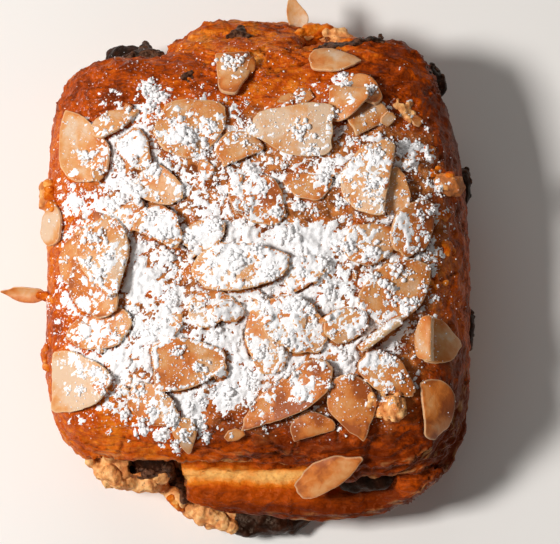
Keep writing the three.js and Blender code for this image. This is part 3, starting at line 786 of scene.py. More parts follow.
def drooped(made):
    # the end of a flake that stands highest bends down, as soft slices do in the oven
    points, faces = joined([crustSurface] + [part[:2] for part in made])
    bed = BVHTree.FromPolygons(points.tolist(), faces.tolist())
    start = len(crustSurface[1])
    rings, stays = len(flakes["rings"]), flakes["stays"]
    done = []
    for points, faces, reach, place in made:
        count = (len(points) - 2) // rings
        edge = points[1 + (rings // 2) * count:][:count]
        gaps = np.array([gapBelow(bed, point, (start, start + len(faces))) for point in edge])
        out = edge[:, :2] - points[0, :2]
        high = (gaps - gaps.mean()) @ out
        high /= max(np.linalg.norm(high), 1e-6)
        far = (out @ high).max()
        room = gaps[out @ high > flakes["tip"] * far].min()
        sink = np.clip(flakes["droopShare"] * (room - flakes["clear"]), 0, flakes["droop"])
        along = np.clip((points[:, :2] - points[0, :2]) @ high / far, -stays, None) + stays
        moved = points - np.outer(sink * (along / (1 + stays)) ** 2, [0, 0, 1])
        done.append((moved, faces, reach, place))
        start += len(faces)
    return done


almondLook = flakeFinish()
flakeNames = [f"almond_flake_{number:02d}" for number in range(1, flakes["count"] + 1)]
cutFlakes = drooped(drooped([flakeMesh(*readFlake(name), turn) for turn, name in enumerate(flakeNames)]))
flakeSurface = makeAlmonds("flakedAlmonds", cutFlakes, flakes["toast"], almondLook, flakeNames)


# Almond cream and its crumbs

cream = {
    "voxel": 0.5, "flatHidden": 8, "hidden": 0.01, "lump": 0.3, "lumpSpan": 3.4, "grit": 0.4, "gritSpan": 2.0,
    "bareEnd": [41, 44], "bareTop": [29.5, 31], "bareSide": [41, 43],
    "lumpEdge": [0.05, 0.7], "lumpMiddle": 0.4,
    # painted shade: darker between the lumps and on the right side, with painted light on the raised grit
    "hollow": 0.5, "hollowEdge": [0.45, 0.8], "gritPaintedLight": 0.25, "rightPaintedShade": 0.5, "rightFrom": [36, 42],
    "torn": 1.3, "tornSpan": 5.5, "tornFront": [44, 47], "tornLeft": [-8, -16],
    "light": [246, 190, 124], "mid": [230, 160, 90], "dark": [178, 104, 48], "baked": [208, 118, 46],
    "stain": [74, 34, 14],  # chocolate that soaked in
}


def creamFinish():
    finish = newFinish("almondCream")
    crumb = grain(1.5, 5)
    # the painted shade darkens the colour between the lumps and on the right side
    value = sums("SUBTRACT", ranged(crumb, 0.28, 0.72), attribute("hollow"), use_clamp=True)
    colour = colours(value, (0.0, cream["dark"]), (0.4, cream["mid"]), (0.85, cream["light"]))
    colour = mixed(ranged(grain(3.2, 4, twist=0.4), 0.46, 0.64, 0, 0.65), colour, tone(cream["baked"]))
    colour = mixed(ranged(grain(1.9, 3, twist=0.6), 0.61, 0.72, 0, 0.65), colour, tone(cream["stain"]))
    dress({
        "Base Color": colour, "Roughness": 0.7,
        "Subsurface Weight": 0.12, "Subsurface Radius": [0.002, 0.001, 0.0005],
        "Normal": bumps((crumb, 0.5), (grain(0.35, 2), 0.12)),
    })
    return finish


def creamBare(points):
    # 0 on what the dough hides, 1 at the ends and on the crumbs
    x, y, z = points.T
    bare = np.maximum(smooth(*cream["bareEnd"], np.abs(y)), smooth(*cream["bareTop"], z))
    return np.maximum(bare, smooth(*cream["bareSide"], np.abs(x)))


def makeCream():
    nodes = ["almond_cream", "cream_crumb_front", "cream_crumb_right", "cream_crumb_left"]
    points, faces = joined([remeshed(name, cream["voxel"]) for name in nodes])
    points, faces = fewHidden(points, faces, creamBare(points) < cream["hidden"], cream["flatHidden"])
    x, y, _ = points.T
    near, _ = cells(points, cream["lumpSpan"], 11)
    grit = crumbly(points, cream["gritSpan"], 3, 13)
    lump = 1 - smooth(*cream["lumpEdge"], near) - cream["lumpMiddle"]
    move = creamBare(points) * (cream["lump"] * lump + cream["grit"] * grit)
    torn = smooth(*cream["tornFront"], -y) * smooth(*cream["tornLeft"], x)
    move = move + cream["torn"] * torn * lumps(points, cream["tornSpan"], 16)
    points = points + normalsOf(points, faces) * move[:, None]
    # painted shade between the lumps, painted light on the raised grit, and painted shade on the right side
    hollow = cream["hollow"] * smooth(*cream["hollowEdge"], near) - cream["gritPaintedLight"] * grit
    hollow = hollow + cream["rightPaintedShade"] * smooth(*cream["rightFrom"], points[:, 0])
    makePiece("almondCream", points, faces, creamLook, "almond_cream", nodes, hollow=np.clip(hollow, 0, 1))
    return points, faces


creamLook = creamFinish()
creamSurface = makeCream()


# Chocolate batons and the seeps

chocolate = {
    "voxel": 0.5, "flatHidden": 8, "hidden": 0.01, "hiddenEnd": [40, 43], "hiddenSide": [36, 38],
    "melt": 0.6, "meltSpan": 6, "pit": 0.3, "pitSpan": 1.8, "bareEnd": [42, 45], "bareSide": [38, 41],
    "lip": 7, "slump": 0.8, "taper": 0.75, "fuller": 0.55,  # the left baton's back end is fuller
    "left": [0, -10], "right": [0, 10], "back": [0, 10],
    "backTip": {"out": [40, 52], "slide": 0.4, "short": 2.2},  # left baton
    "slit": {"out": [-43, -53], "back": 1.5, "wider": 0.2, "lower": 0.5},  # right baton's front end
    "dark": [23, 8, 3], "brown": [52, 22, 9], "bloom": [96, 62, 44], "gloss": [1, 0.72, 0.52, 1],
}


def chocolateFinish(name, bloomFrom):
    finish = newFinish(name)
    cloud = grain(3, 5, twist=0.5)
    colour = mixed(ranged(cloud, 0.35, 0.7), tone(chocolate["dark"]), tone(chocolate["brown"]))
    bloom = sums("MULTIPLY", ranged(grain(0.7, 4), bloomFrom, bloomFrom + 0.22),
                 ranged(cloud, bloomFrom - 0.09, bloomFrom + 0.16))
    dress({
        "Base Color": mixed(bloom, colour, tone(chocolate["bloom"])),
        "Roughness": ranged(cloud, 0.3, 0.7, 0.3, 0.5),
        "Specular IOR Level": 0.2, "Specular Tint": chocolate["gloss"],
        "Normal": bumps((grain(1.2, 4), 0.4), (grain(0.4, 2), 0.08)),
    })
    return finish


def meltedBaton(points, faces):
    # both ends slump and draw in to a rounded lip
    along = points[:, 1] - points[:, 1].mean()
    beyond = np.clip((np.abs(along) - np.abs(along).max()) / chocolate["lip"] + 1, 0, 1)
    backLeft = smooth(*chocolate["left"], points[:, 0]) * smooth(*chocolate["back"], along)
    taper = chocolate["taper"] - chocolate["fuller"] * backLeft
    drawn = np.sqrt(np.clip(1 - taper * beyond ** 2, 0, 1))
    line = np.polyfit(points[:, 1], points[:, 0], 1)
    level = np.full(len(points), points[:, 2].mean())
    middle = columns(np.polyval(line, points[:, 1]), points[:, 1], level)
    points = middle + (points - middle) * drawn[:, None]
    points[:, 2] -= chocolate["slump"] * beyond ** 2
    tip, slit = chocolate["backTip"], chocolate["slit"]
    there = smooth(*tip["out"], points[:, 1]) * smooth(*chocolate["left"], points[:, 0])
    points += np.outer(there, [tip["slide"], -tip["short"], 0])
    there = smooth(*slit["out"], points[:, 1]) * smooth(*chocolate["right"], points[:, 0])
    points[:, 0] += slit["wider"] * there * (points[:, 0] - middle[:, 0])
    points += np.outer(there, [0, slit["back"], -slit["lower"]])
    return points, faces


def makeChocolate():
    batons = ["chocolate_baton_left", "chocolate_baton_right"]
    seeps = ["chocolate_seep_front", "chocolate_seep_right", "chocolate_seep_side", "chocolate_seep_corner"]
    parts = [meltedBaton(*remeshed(name, chocolate["voxel"])) for name in batons]
    points, faces = joined(parts + [remeshed(name, chocolate["voxel"]) for name in seeps])
    x, y, _ = np.abs(points.T)
    shown = np.maximum(smooth(*chocolate["hiddenEnd"], y), smooth(*chocolate["hiddenSide"], x))
    points, faces = fewHidden(points, faces, shown < chocolate["hidden"], chocolate["flatHidden"])
    x, y, _ = np.abs(points.T)
    bare = np.maximum(smooth(*chocolate["bareEnd"], y), smooth(*chocolate["bareSide"], x))
    move = chocolate["melt"] * lumps(points, chocolate["meltSpan"], 15)
    move += chocolate["pit"] * crumbly(points, chocolate["pitSpan"], 2, 17)
    points = points + normalsOf(points, faces) * (move * bare)[:, None]
    makePiece("chocolate", points, faces, chocolateLook, "chocolate", batons + seeps)
    return points, faces


chocolateLook = chocolateFinish("darkChocolate", 0.54)
smearLook = chocolateFinish("smearedChocolate", 0.38)
chocolateSurface = makeChocolate()


# Small broken bits, laid on what is there by the place that they have in the photo

skyHeight = 90
lidHeight = 45
floorClear = 3  # what lies lower carries nothing
pixel = 0.22  # millimetres across one pixel of the photo, at the part's middle height
flakeTriangles = len(cutFlakes[0][1])
crustTriangles = len(crustSurface[1])


def photoSpot(across, down, height=lidHeight):
    # the place of a pixel of the photo, at a height above the floor
    rise = math.radians(camera["elevation"])
    imageWide, imageHigh = camera["image"]
    targetX, targetY, targetZ = camera["target"]
    wide = camera["sensor"] / camera["lens"] / imageWide
    scale = wide * (camera["distance"] - math.sin(rise) * (height - targetZ))
    up = (imageHigh / 2 - down) * scale - (height - targetZ) * math.cos(rise)
    return targetX + (across - imageWide / 2) * scale, targetY + up / math.sin(rise)


def seenSpot(across, down, height):
    # what the camera sees at a pixel, or beside the outline a place between it and the nearest surface
    start = Vector((*photoSpot(across, down, skyHeight), skyHeight))
    end = Vector((*photoSpot(across, down, 0), 0))
    spot, _, _, _ = hit = ground.ray_cast(start, (end - start).normalized())
    if spot is None:
        wanted = Vector((*photoSpot(across, down, height), height))
        spot, _, _, far = hit = ground.find_nearest(wanted)
        spot = spot + (wanted - spot) * min(1, crumbs["reach"] / max(far, 0.01))
    return spot, hit[1]


def besideSurface(place, away):
    # the spot nearest to a place that is so far away from the surface
    spot, normal, _, far = ground.find_nearest(place)
    out = (place - spot) / max(far, 1e-6)
    if far < 0.05 or out.dot(normal) < 0:
        out = normal
    return spot + out * away, normal


def layOn(surfaces):
    points, faces = joined(surfaces)
    print("small things fall on", len(faces), "triangles")
    return BVHTree.FromPolygons(points.tolist(), faces.tolist())


def landing(x, y):
    # height and slope of what lies under each point, nan beside the pastry, and how much sugar it holds
    height = np.full(len(x), np.nan)
    level = np.zeros(len(x))
    holds = np.ones(len(x))
    for i, spot in enumerate(zip(x.tolist(), y.tolist())):
        hit, normal, face, _ = ground.ray_cast((*spot, skyHeight), (0, 0, -1))
        if hit and hit.z > floorClear:
            height[i] = hit.z
            level[i] = abs(normal.z)
            flake = (face - crustTriangles) // flakeTriangles
            if 0 <= flake < flakes["count"]:
                holds[i] = flakes["sugared"][flake]
    return height, level, holds


def lumpShapes(kinds, detail, rough, turn):
    # some rough grains about 1 in radius
    shape = bmesh.new()
    bmesh.ops.create_icosphere(shape, subdivisions=detail, radius=1)
    ball = np.array([v.co for v in shape.verts])
    faces = np.array([[v.index for v in f.verts] for f in shape.faces])
    shape.free()
    reach = [1 + rough * crumbly(ball + 5 * kind, 0.9, 3, turn) for kind in range(kinds)]
    return [(ball * out[:, None], faces) for out in reach]


def randomTurns(count):
    turns = dice.normal(size=(count, 4))
    w, x, y, z = (turns / np.linalg.norm(turns, axis=1)[:, None]).T
    rows = [[1 - 2 * (y * y + z * z), 2 * (x * y - w * z), 2 * (x * z + w * y)],
            [2 * (x * y + w * z), 1 - 2 * (x * x + z * z), 2 * (y * z - w * x)],
            [2 * (x * z - w * y), 2 * (y * z + w * x), 1 - 2 * (x * x + y * y)]]
    return np.moveaxis(np.array(rows), 2, 0)


def scatterLumps(shapes, spots, sizes):
    # one turned copy of a shape on every spot
    turns = randomTurns(len(spots))
    kinds = dice.integers(len(shapes), size=len(spots))
    parts = []
    for kind, (shape, faces) in enumerate(shapes):
        chosen = np.flatnonzero(kinds == kind)
        moved = np.einsum("nij,vj->nvi", turns[chosen], shape) * sizes[chosen, None, None]
        moved = moved + spots[chosen, None]
        starts = np.arange(len(chosen)) * len(shape)
        parts.append((moved.reshape(-1, 3), (faces[None] + starts[:, None, None]).reshape(-1, 3)))
    return joined(parts)


chips = {
    "thick": 0.8, "corners": 7, "uneven": 0.7, "cut": [0.75, 1.1], "steepest": 0.45, "feet": 0.35, "sit": 0.2,
    # pixel across, pixel down, length, width, turn and toast of the chips that stand out in the photo
    "spots": [(287, 93, 4.4, 3.0, 20, 0.6), (304, 91, 4.4, 4.2, 70, 0.55), (250, 58, 5.2, 2.2, 70, 0.9),
              (332, 170, 6.0, 3.4, 10, 0.9), (408, 160, 3.0, 2.4, 40, 0.6), (228, 312, 9.0, 5.6, -20, 0.5),
              (170, 325, 8.0, 6.0, 30, 0.6), (235, 428, 4.6, 3.4, 10, 0.7), (205, 168, 5.0, 3.6, 120, 0.7),
              (243, 205, 6.0, 4.0, 40, 0.7)],
    "more": 34, "across": [-40, 38], "along": [-36, 30], "long": [1.6, 4.6], "wide": [0.5, 0.9],
    "toast": [0.4, 0.9], "turn": 60,  # turns of the noise that the flakes don't use
}


def chipMesh(number, x, y, long, wide, turn):
    # a broken bit with straight edges, flat on what carries it
    reach = chips["feet"] * long
    offX, offY = reach * np.array([1, -1, 0, 0, 0]), reach * np.array([0, 0, 1, -1, 0])
    heights = landing(x + offX, y + offY)[0]
    heights = np.where(np.isnan(heights), heights[4], heights)
    slopeX = np.clip((heights[0] - heights[1]) / reach / 2, -chips["steepest"], chips["steepest"])
    slopeY = np.clip((heights[2] - heights[3]) / reach / 2, -chips["steepest"], chips["steepest"])
    rest = (heights - slopeX * offX - slopeY * offY).max()
    up = np.array([-slopeX, -slopeY, 1]) / math.hypot(slopeX, slopeY, 1)
    along = np.array([math.cos(math.radians(turn)), math.sin(math.radians(turn)), 0])
    along -= up * (along @ up)
    along /= np.linalg.norm(along)
    corners = chips["corners"]
    angle = (np.arange(corners) + chips["uneven"] * dice.random(corners)) * 2 * np.pi / corners
    reach = dice.uniform(*chips["cut"], corners) / 2
    outline = columns(long * reach * np.cos(angle), wide * reach * np.sin(angle), 0 * angle)
    axes = np.array([along, np.cross(up, along), up])
    middle = np.array([x, y, rest + chips["sit"]])
    return flakeMesh(middle, axes, outline, chips["thick"] / 2, chips["turn"] + number, brokenLine)


def makeChips():
    spots = [(*photoSpot(across, down), *rest) for across, down, *rest in chips["spots"]]
    while len(spots) < len(chips["spots"]) + chips["more"]:
        x, y = dice.uniform(*chips["across"]), dice.uniform(*chips["along"])
        if dice.random() < sugarShare(np.array([x]), np.array([y]))[0]:
            size = dice.uniform(*chips["long"])
            wide = size * dice.uniform(*chips["wide"])
            spots.append((x, y, size, wide, dice.uniform(0, 360), dice.uniform(*chips["toast"])))
    made = [chipMesh(number, *spot[:5]) for number, spot in enumerate(spots)]
    return makeAlmonds("almondChips", made, [spot[5] for spot in spots], almondLook)


crumbs = {
    "each": 7, "spread": 0.7, "flat": 0.55, "round": 0.8, "voxel": 0.28, "rough": 0.18, "step": 0.3,
    "wander": 0.2, "lump": 0.26, "lumpSpan": 2.4, "grit": 0.1, "gritSpan": 0.8,
    "looseSize": [0.6, 1.1], "lineSize": [0.8, 1.1], "browning": 0.42, "uneven": 0.25, "unevenSpan": 3,
    "reach": 2.4,  # how far bits may grow out past the surface
    "smear": {"count": 60, "spread": [0.6, 4.2, 0.8], "half": 0.7},
    # loose ones: pixel across, pixel down, height above the floor and half width in millimetres
    "loose": {
        "chocolate": [(183, 75, 33, .8), (188, 74, 33, .6), (381, 36, 26, .6), (430, 66, 26, .6)],
        "cream": [(372, 400, 36, .9), (380, 395, 36, 1.0), (392, 402, 36, 1.1), (388, 414, 36, 1.0),
                  (398, 412, 36, .8), (404, 110, 38, 1.1), (410, 116, 38, .8), (400, 103, 38, .8)],
        "crust": [(432, 150, 34, 1.0), (440, 172, 32, 1.1), (444, 214, 32, 1.0), (447, 250, 32, 1.1),
                  (438, 280, 33, .9)],
    },
    # squeezed out at the ends, in lines with the same values
    "squeezed": {
        "chocolate": [
            [(120, 55, 24, .5), (130, 54, 24, 1.1), (141, 51, 24, 1.6), (154, 56, 24, 1.7),
             (167, 61, 25, .9)],
            [(138, 54, 22, 1.5), (143, 47, 22, 1.4), (144, 39, 22, .6)],
            [(137, 59, 20, 2.0), (154, 60, 20, 2.0)]],
        "cream": [
            [(326, 28, 24, 1.2), (338, 30, 24, 1.5), (347, 34, 24, 1.3), (356, 39, 25, .7)],
            [(177, 489, 5, 2), (191, 499, 4, 2), (213, 509, 4, 2), (232, 517, 4, 1.8)]],
        "crust": [
            [(298, 31, 25, .9), (313, 26, 24, 1.5), (330, 28, 24, 1.5)],
            [(172, 495, 10, .9), (178, 502, 9, 1.0), (184, 507, 8, .8)]],
    },
    # ones that stick together: how thick against their width, and the line they follow, with the same values
    "stuck": {
        "chocolate": [
            (.6, [(229, 33, 27, .7), (237, 29, 26, 1.2), (242, 25, 25, 1.0)]),
            (.6, [(237, 31, 26, 1.1), (252, 33, 28, .6)]),
            (.5, [(316, 46, 29, .6), (327, 44, 29, .9), (340, 43, 28, 1.4), (352, 41, 28, 1.2),
                  (375, 35, 26, .8)]),
            (.7, [(133, 470, 17, 1.0), (150, 470, 17, 1.2), (166, 468, 18, 1.4)]),
            (.8, [(168, 463, 22, 1.2), (175, 474, 19, 1.7), (181, 487, 15, 1.7), (185, 497, 12, 1.0)])],
        "cream": [
            (.4, [(306, 34, 26, .9), (320, 34, 26, 1.2), (340, 37, 26, 1.1)]),
            (.9, [(92, 460, 16, 1.2), (100, 464, 16, 1.6), (113, 472, 14, 1.8), (134, 480, 13, 1.8),
                  (152, 481, 12, 1.8), (166, 484, 11, 1.8), (177, 494, 8, 1.9), (191, 505, 7, 1.9),
                  (213, 515, 6, 1.9), (234, 523, 6, 1.6)])],
        "crust": [
            (.8, [(49, 184, 27, 1.0), (48, 195, 25, 1.2), (51, 208, 24, .9)]),
            (.8, [(38, 294, 19, .7), (45, 296, 19, 1.1), (52, 299, 20, 1.2)]),
            (.8, [(49, 345, 22, .8), (47, 357, 21, 1.0), (50, 369, 19, .8)])],
    },
}


def seenCrumbs(kind):
    # lumps on what the camera sees, a few round each loose place and many along each line
    spots = []
    for across, down, height, half in crumbs["loose"][kind]:
        for right, low in dice.normal(size=(crumbs["each"], 2)) * half * crumbs["spread"] / pixel:
            size = half * dice.uniform(*crumbs["looseSize"])
            spots.append((*seenSpot(across + right, down + low, height), size, crumbs["flat"]))
    for line in crumbs["squeezed"][kind]:
        for first, last in itertools.pairwise(np.array(line)):
            steps = math.ceil(np.hypot(*(last - first)[:2]) * pixel / crumbs["step"] / min(first[3], last[3]))
            for share in np.arange(steps + 1) / steps:
                across, down, height, half = first + (last - first) * share
                place = Vector((*photoSpot(across, down, height), height))
                place += Vector(dice.normal(size=3)) * half * crumbs["wander"]
                size = half * dice.uniform(*crumbs["lineSize"])
                spots.append((place, Vector((0, 0, 1)), size, crumbs["round"]))
    for flat, line in crumbs["stuck"][kind]:
        known = [(seenSpot(*spot[:3])[0], spot[3]) for spot in line]
        for (first, firstHalf), (last, lastHalf) in itertools.pairwise(known):
            away = [ground.find_nearest(spot)[3] for spot in (first, last)]
            steps = math.ceil((last - first).length / crumbs["step"] / min(firstHalf, lastHalf))
            for share in np.arange(steps + 1) / steps:
                half = firstHalf + (lastHalf - firstHalf) * share
                place = first.lerp(last, share) + Vector(dice.normal(size=3)) * half * crumbs["wander"]
                spot, normal = besideSurface(place, away[0] + (away[1] - away[0]) * share)
                spots.append((spot, normal, half * dice.uniform(*crumbs["lineSize"]), flat))
    return spots


def smearsRound(names):
    # chocolate that ran along the layers beside a seep
    smear = crumbs["smear"]
    spots = []
    for name in names:
        middle = np.mean(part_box(name), axis=0) / mm
        for off in dice.normal(size=(smear["count"], 3)) * smear["spread"]:
            spot, normal, _, _ = ground.find_nearest(middle + off)
            spots.append((spot, normal, smear["half"] * dice.uniform(*crumbs["looseSize"]), crumbs["flat"]))
    return spots


def stuckCrumbs(name, spots, finish, slot):
    # lumps pressed on the surface at each spot, grown together
    shapes = lumpShapes(6, 2, crumbs["rough"], 41)
    parts = []
    for spot, normal, half, flat in spots:
        side = normal.orthogonal().normalized()
        axes = np.array([side, normal.cross(side), normal])
        shape, faces = shapes[dice.integers(len(shapes))]
        parts.append((np.array(spot) + shape * half * [1, 1, flat] @ axes, faces))
    points, faces = fused(*joined(parts), crumbs["voxel"])
    rough = crumbs["lump"] * crumbly(points, crumbs["lumpSpan"], 2, 45)
    rough += crumbs["grit"] * crumbly(points, crumbs["gritSpan"], 2, 43)
    points = points + normalsOf(points, faces) * rough[:, None]
    browning = crumbs["browning"] + crumbs["uneven"] * lumps(points, crumbs["unevenSpan"], 44)
    makePiece(name, points, faces, finish, slot, browning=browning, uneven=np.ones(len(points)))
    return points, triangles(faces)


ground = layOn([crustSurface, flakeSurface, creamSurface, chocolateSurface])
chipSurface = makeChips()
wallSeeps = ["chocolate_seep_right", "chocolate_seep_side", "chocolate_seep_corner"]
chocolateSpots = seenCrumbs("chocolate") + smearsRound(wallSeeps)
crumbSurfaces = [
    stuckCrumbs("chocolateBits", chocolateSpots, smearLook, "chocolate"),
    stuckCrumbs("creamCrumbs", seenCrumbs("cream"), creamLook, "almond_cream"),
    stuckCrumbs("crustCrumbs", seenCrumbs("crust"), crustLook, "crust"),
]
ground = layOn([crustSurface, flakeSurface, creamSurface, chocolateSurface, chipSurface, *crumbSurfaces])


# Icing sugar

sugar = {
    "white": [252, 251, 251], "shade": [232, 229, 230],
    "half": 50, "step": 0.34, "deepest": 0.85, "thickest": 0.8, "thinnest": 0.06,
    "steepest": 1.5, "sunk": 0.12,
    "lumpSpan": 1.25, "lumpEdge": [0.1, 0.8], "lumpLow": 0.3, "lumpHigh": 0.9, "grit": 0.14, "gritSpan": 0.6,
    "uneven": 0.09, "rimSunk": 0.02, "heapReach": 1.1, "heapLeast": 0.9, "askedFrom": 0.02, "zoneFrom": 0.1,
    "cover": {"share": 1.1, "heap": 0.5, "less": 1.0},  # what counts for the blanket, against its holes
    "ragged": [(6.5, 0.45), (3, 0.55), (1.5, 0.6), (0.8, 0.6), (0.45, 0.25)],  # span and weight of the holes
    # thicker and thinner places: pixel across, pixel down, half width in millimetres and how much
    "zones": [
        (288, 275, 6, .55), (256, 340, 6, .45), (380, 180, 6, .3), (372, 322, 6, .45), (404, 182, 5, -.4),
        (412, 240, 6, .55), (180, 410, 5, .45), (128, 128, 6, .3), (92, 130, 5, .3), (128, 272, 6, .35),
        (92, 335, 6, .4), (300, 212, 4, -.7), (336, 206, 4, -.6), (214, 410, 4, -.6), (340, 372, 4, .4),
        (376, 340, 4, .5), (420, 140, 4, .3), (185, 420, 4, .4), (96, 296, 4, .3), (345, 96, 3, .3),
        (380, 262, 6, -.1), (380, 300, 6, -.1), (420, 340, 4, -.5), (376, 420, 5, -.5), (300, 262, 5, .25),
        (140, 300, 5, .3), (180, 425, 4, .3), (345, 300, 5, -.2), (100, 212, 5, -.15), (340, 180, 5, -.3),
        (180, 180, 5, -.35), (300, 180, 5, -.25), (100, 380, 5, -.25), (340, 255, 5, .1), (402, 122, 4, -.5),
        (380, 262, 5, -.15), (180, 378, 4.5, .5), (101, 256, 4, .35),
    ],
    "clumps": 500, "clumpSize": [0.35, 1.3], "clumpAcross": [-46, 42], "clumpAlong": [-42, 40], "fine": 0.46,
    "clump": {"least": 4, "more": 13, "spread": 0.5, "lump": [0.12, 0.36], "grow": [0.6, 0.5], "dome": 0.4,
              "lift": 0.3},
    "grains": 7600, "grainSize": [0.06, 0.22], "grainAcross": [-50, 48], "grainAlong": [-48, 48],
    "grainEven": 0.55, "grainUneven": 0.45, "grainSpan": 5, "grainLift": 0.4,
    "stray": 0.08, "strayLeft": [0, 30, 0.7], "strayBack": [-42, -34], "flattest": 0.35,
    # heaps that stand out in the photo: pixel across, pixel down and half width in millimetres
    "heaps": [
        (146, 82, 2.4), (158, 90, 1.8), (150, 103, 1.8), (238, 51, 1.7), (225, 50, 1.9), (232, 58, 1.5),
        (185, 137, 3.0), (207, 122, 1.5), (345, 68, 1.4), (346, 78, 1.5), (372, 84, 1.6), (120, 143, 1.8),
        (118, 160, 1.8), (152, 165, 1.9), (128, 190, 2.6), (110, 203, 1.9), (95, 235, 2.6), (100, 276, 2.0),
        (106, 258, 1.8), (75, 198, 1.5), (165, 236, 1.9), (150, 216, 1.9), (172, 256, 2.2), (190, 240, 2.0),
        (215, 226, 2.0), (236, 262, 2.6), (256, 250, 2.2), (270, 276, 2.0), (172, 300, 1.9), (216, 330, 2.2),
        (150, 330, 2.0), (290, 236, 2.6), (276, 214, 2.0), (300, 130, 2.2), (311, 150, 1.6), (330, 162, 1.6),
        (325, 176, 2.0), (341, 200, 1.8), (375, 150, 1.7), (372, 186, 1.8), (345, 246, 2.2), (326, 262, 2.0),
        (375, 250, 1.9), (300, 300, 2.0), (330, 290, 2.2), (286, 346, 1.7), (291, 370, 1.8), (345, 352, 1.9),
        (390, 360, 1.3), (400, 270, 1.7), (410, 300, 1.8), (425, 195, 1.4), (110, 375, 1.5), (80, 386, 1.3),
        (140, 386, 1.7), (160, 430, 1.6), (190, 400, 1.8), (230, 392, 2.0), (252, 380, 2.0), (262, 352, 1.8),
        (125, 408, 1.6), (142, 420, 1.7), (152, 408, 1.5), (172, 418, 1.8), (185, 430, 1.6), (200, 418, 1.7),
        (206, 430, 1.3), (176, 438, 1.2), (404, 142, 1.4), (420, 138, 1.3), (432, 150, 1.1), (414, 160, 1.4),
        (430, 176, 1.2), (441, 184, 1.0), (436, 206, 1.2), (421, 214, 1.3), (432, 236, 1.2), (418, 250, 1.3),
        (433, 262, 1.1), (388, 285, 2.0), (374, 276, 1.6), (178, 352, 1.8), (200, 366, 1.6), (424, 284, 1.3),
        (414, 298, 1.2), (250, 170, 1.7), (262, 190, 1.6), (300, 205, 1.5), (240, 225, 1.6), (300, 255, 1.7),
        (262, 300, 1.6), (310, 312, 1.5), (88, 262, 1.4), (84, 300, 1.2),
    ],
}


def sugarFinish():
    finish = newFinish("icingSugar")
    fine = grain(0.28, 3)
    dress({
        "Base Color": colours(fine, (0.3, sugar["shade"]), (0.6, sugar["white"])),
        "Roughness": 0.9, "Specular IOR Level": 0.25,
        "Subsurface Weight": 0.35, "Subsurface Radius": [0.0006, 0.0006, 0.0006],
        "Normal": bumps((grain(0.6, 3), 0.14), (fine, 0.08)),
    })
    return finish


heapSpots = np.array([[*photoSpot(across, down), half] for across, down, half in sugar["heaps"]])


def spotShare(x, y, spotX, spotY, half):
    return np.exp(-((x - spotX) ** 2 + (y - spotY) ** 2) / half ** 2)


def heapShare(x, y):
    share = np.zeros(len(x))
    for heapX, heapY, half in heapSpots:
        share = np.maximum(share, spotShare(x, y, heapX, heapY, sugar["heapReach"] * half))
    return share


def zoneShare(x, y):
    share = 0
    for across, down, half, more in sugar["zones"]:
        share = share + more * spotShare(x, y, *photoSpot(across, down), half)
    return share


def makeDusting(finish):
    # powder that lies like a blanket with ragged holes
    side = np.arange(-sugar["half"], sugar["half"], sugar["step"])
    gridX, gridY = (part.ravel() for part in np.meshgrid(side, side))
    heaped = heapShare(gridX, gridY)
    share = np.maximum(sugarShare(gridX, gridY), sugar["heapLeast"] * heaped)
    asked = np.flatnonzero(share > sugar["askedFrom"])
    height = np.full(len(gridX), np.nan)
    height[asked], _, holds = landing(gridX[asked], gridY[asked])
    share[asked] *= holds
    flat = flatPoints(gridX, gridY)
    ragged = sum(weight * lumps(flat, span, 21 + i) for i, (span, weight) in enumerate(sugar["ragged"]))
    weight = sugar["cover"]
    cover = ragged + weight["share"] * share + weight["heap"] * heaped
    cover = cover + zoneShare(gridX, gridY) * (share > sugar["zoneFrom"]) - weight["less"]
    near, _ = cells(flat, sugar["lumpSpan"], 25)
    lump = sugar["lumpLow"] + sugar["lumpHigh"] * (1 - smooth(*sugar["lumpEdge"], near))
    depth = sugar["deepest"] * np.clip(cover, 0, sugar["thickest"]) * lump
    depth += sugar["grit"] * lumps(flat, sugar["gritSpan"], 26)
    depth = np.where(cover > 0, np.maximum(depth, sugar["thinnest"]), -sugar["sunk"])
    count = len(side)
    first = (np.arange(count - 1)[:, None] * count + np.arange(count - 1)).ravel()
    quads = columns(first, first + 1, first + count + 1, first + count)
    levels = height[quads]
    fall = np.nan_to_num(levels.max(axis=1) - levels.min(axis=1), nan=9)
    kept = quads[(fall < sugar["steepest"]) & (cover[quads] > 0).any(axis=1)]
    used, quads = np.unique(kept, return_inverse=True)
    quads = quads.reshape(-1, 4)
    gridX, gridY, height = gridX[used], gridY[used], height[used]
    upper = columns(gridX, gridY, height + depth[used])
    upper[:, :2] += sugar["uneven"] * dice.normal(size=(len(used), 2))
    lower = columns(gridX, gridY, height - 2 * sugar["sunk"])
    edges = np.concatenate([quads[:, [i, (i + 1) % 4]] for i in range(4)])
    known = {tuple(edge) for edge in edges.tolist()}
    rim = np.array([edge for edge in known if edge[::-1] not in known])
    rim = rim[np.lexsort((rim[:, 1], rim[:, 0]))]
    upper[rim.ravel(), 2] = height[rim.ravel()] - sugar["rimSunk"]
    below = len(used)
    walls = columns(rim[:, 1], rim[:, 0], rim[:, 0] + below, rim[:, 1] + below)
    points = np.concatenate([upper, lower])
    faces = np.concatenate([quads, quads[:, ::-1] + below, walls])
    makePiece("icingSugarDusting", points, faces, finish, "sugar")


def sizesBetween(low, high, count, power):
    return low + (high - low) * dice.random(count) ** power  # more small ones than large ones


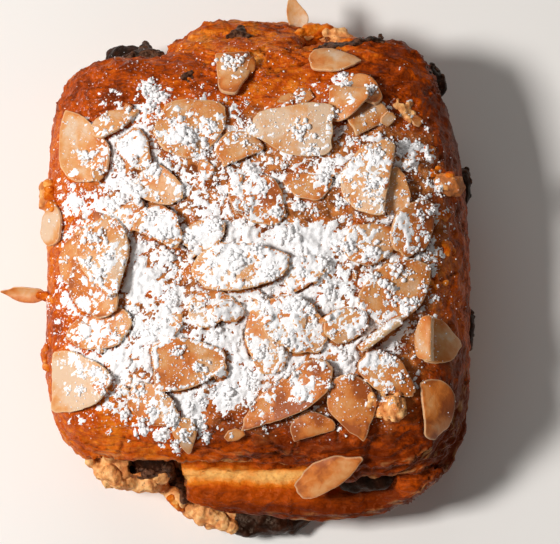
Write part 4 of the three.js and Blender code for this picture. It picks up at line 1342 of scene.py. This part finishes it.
def makeClumps(finish):
    # crumbly balls of powder, each a handful of small lumps that settled together
    wanted = sugar["clumps"] * 6
    x, y = dice.uniform(*sugar["clumpAcross"], wanted), dice.uniform(*sugar["clumpAlong"], wanted)
    chance = np.clip(sugarShare(x, y) ** 1.3 + zoneShare(x, y), 0, 1) * landing(x, y)[2]
    taken = np.flatnonzero(dice.random(wanted) < chance)[: sugar["clumps"]]
    size = sizesBetween(*sugar["clumpSize"], len(taken), 2.5)
    clump = sugar["clump"]
    small, more = clump["grow"]
    spots, sizes = [], []
    for heapX, heapY, half in np.concatenate([heapSpots, columns(x[taken], y[taken], size)]):
        count = int(clump["least"] + clump["more"] * half ** 1.5)
        off = dice.normal(size=(count, 2)) * half * clump["spread"]
        radius = sizesBetween(*clump["lump"], count, 2) * (small + more * half)
        lumpX, lumpY = heapX + off[:, 0], heapY + off[:, 1]
        height = landing(lumpX, lumpY)[0]
        dome = clump["dome"] * half * np.clip(1 - (off ** 2).sum(axis=1) / half ** 2, 0, 1)
        lift = clump["lift"] * radius + dome * dice.random(count)
        there = ~np.isnan(height)
        spots.append(columns(lumpX, lumpY, height + lift)[there])
        sizes.append(radius[there])
    spots, sizes = np.concatenate(spots), np.concatenate(sizes)
    large = sizes > sugar["fine"]
    parts = [scatterLumps(lumpShapes(8, 2, 0.45, 31), spots[large], sizes[large]),
             scatterLumps(lumpShapes(8, 1, 0.5, 32), spots[~large], sizes[~large])]
    makePiece("icingSugarClumps", *joined(parts), finish, "sugar")


def makeGrains(finish):
    wanted = sugar["grains"] * 4
    x, y = dice.uniform(*sugar["grainAcross"], wanted), dice.uniform(*sugar["grainAlong"], wanted)
    start, end, loss = sugar["strayLeft"]
    stray = sugar["stray"] * (1 - loss * smooth(start, end, x)) * smooth(*sugar["strayBack"], y)
    patchy = sugar["grainEven"] + sugar["grainUneven"] * lumps(flatPoints(x, y), sugar["grainSpan"], 35)
    chance = stray + sugarShare(x, y) * patchy
    taken = np.flatnonzero(dice.random(wanted) < chance)[: sugar["grains"]]
    x, y = x[taken], y[taken]
    height, level, _ = landing(x, y)
    there = ~np.isnan(height) & (level > sugar["flattest"])
    size = sizesBetween(*sugar["grainSize"], len(x), 2)
    spots = columns(x, y, height + sugar["grainLift"] * size)[there]
    points, faces = scatterLumps(lumpShapes(8, 1, 0.5, 36), spots, size[there])
    makePiece("icingSugarGrains", points, faces, finish, "sugar")


sugarLook = sugarFinish()
makeDusting(sugarLook)
makeClumps(sugarLook)
makeGrains(sugarLook)


# End of the build

print("scene built")
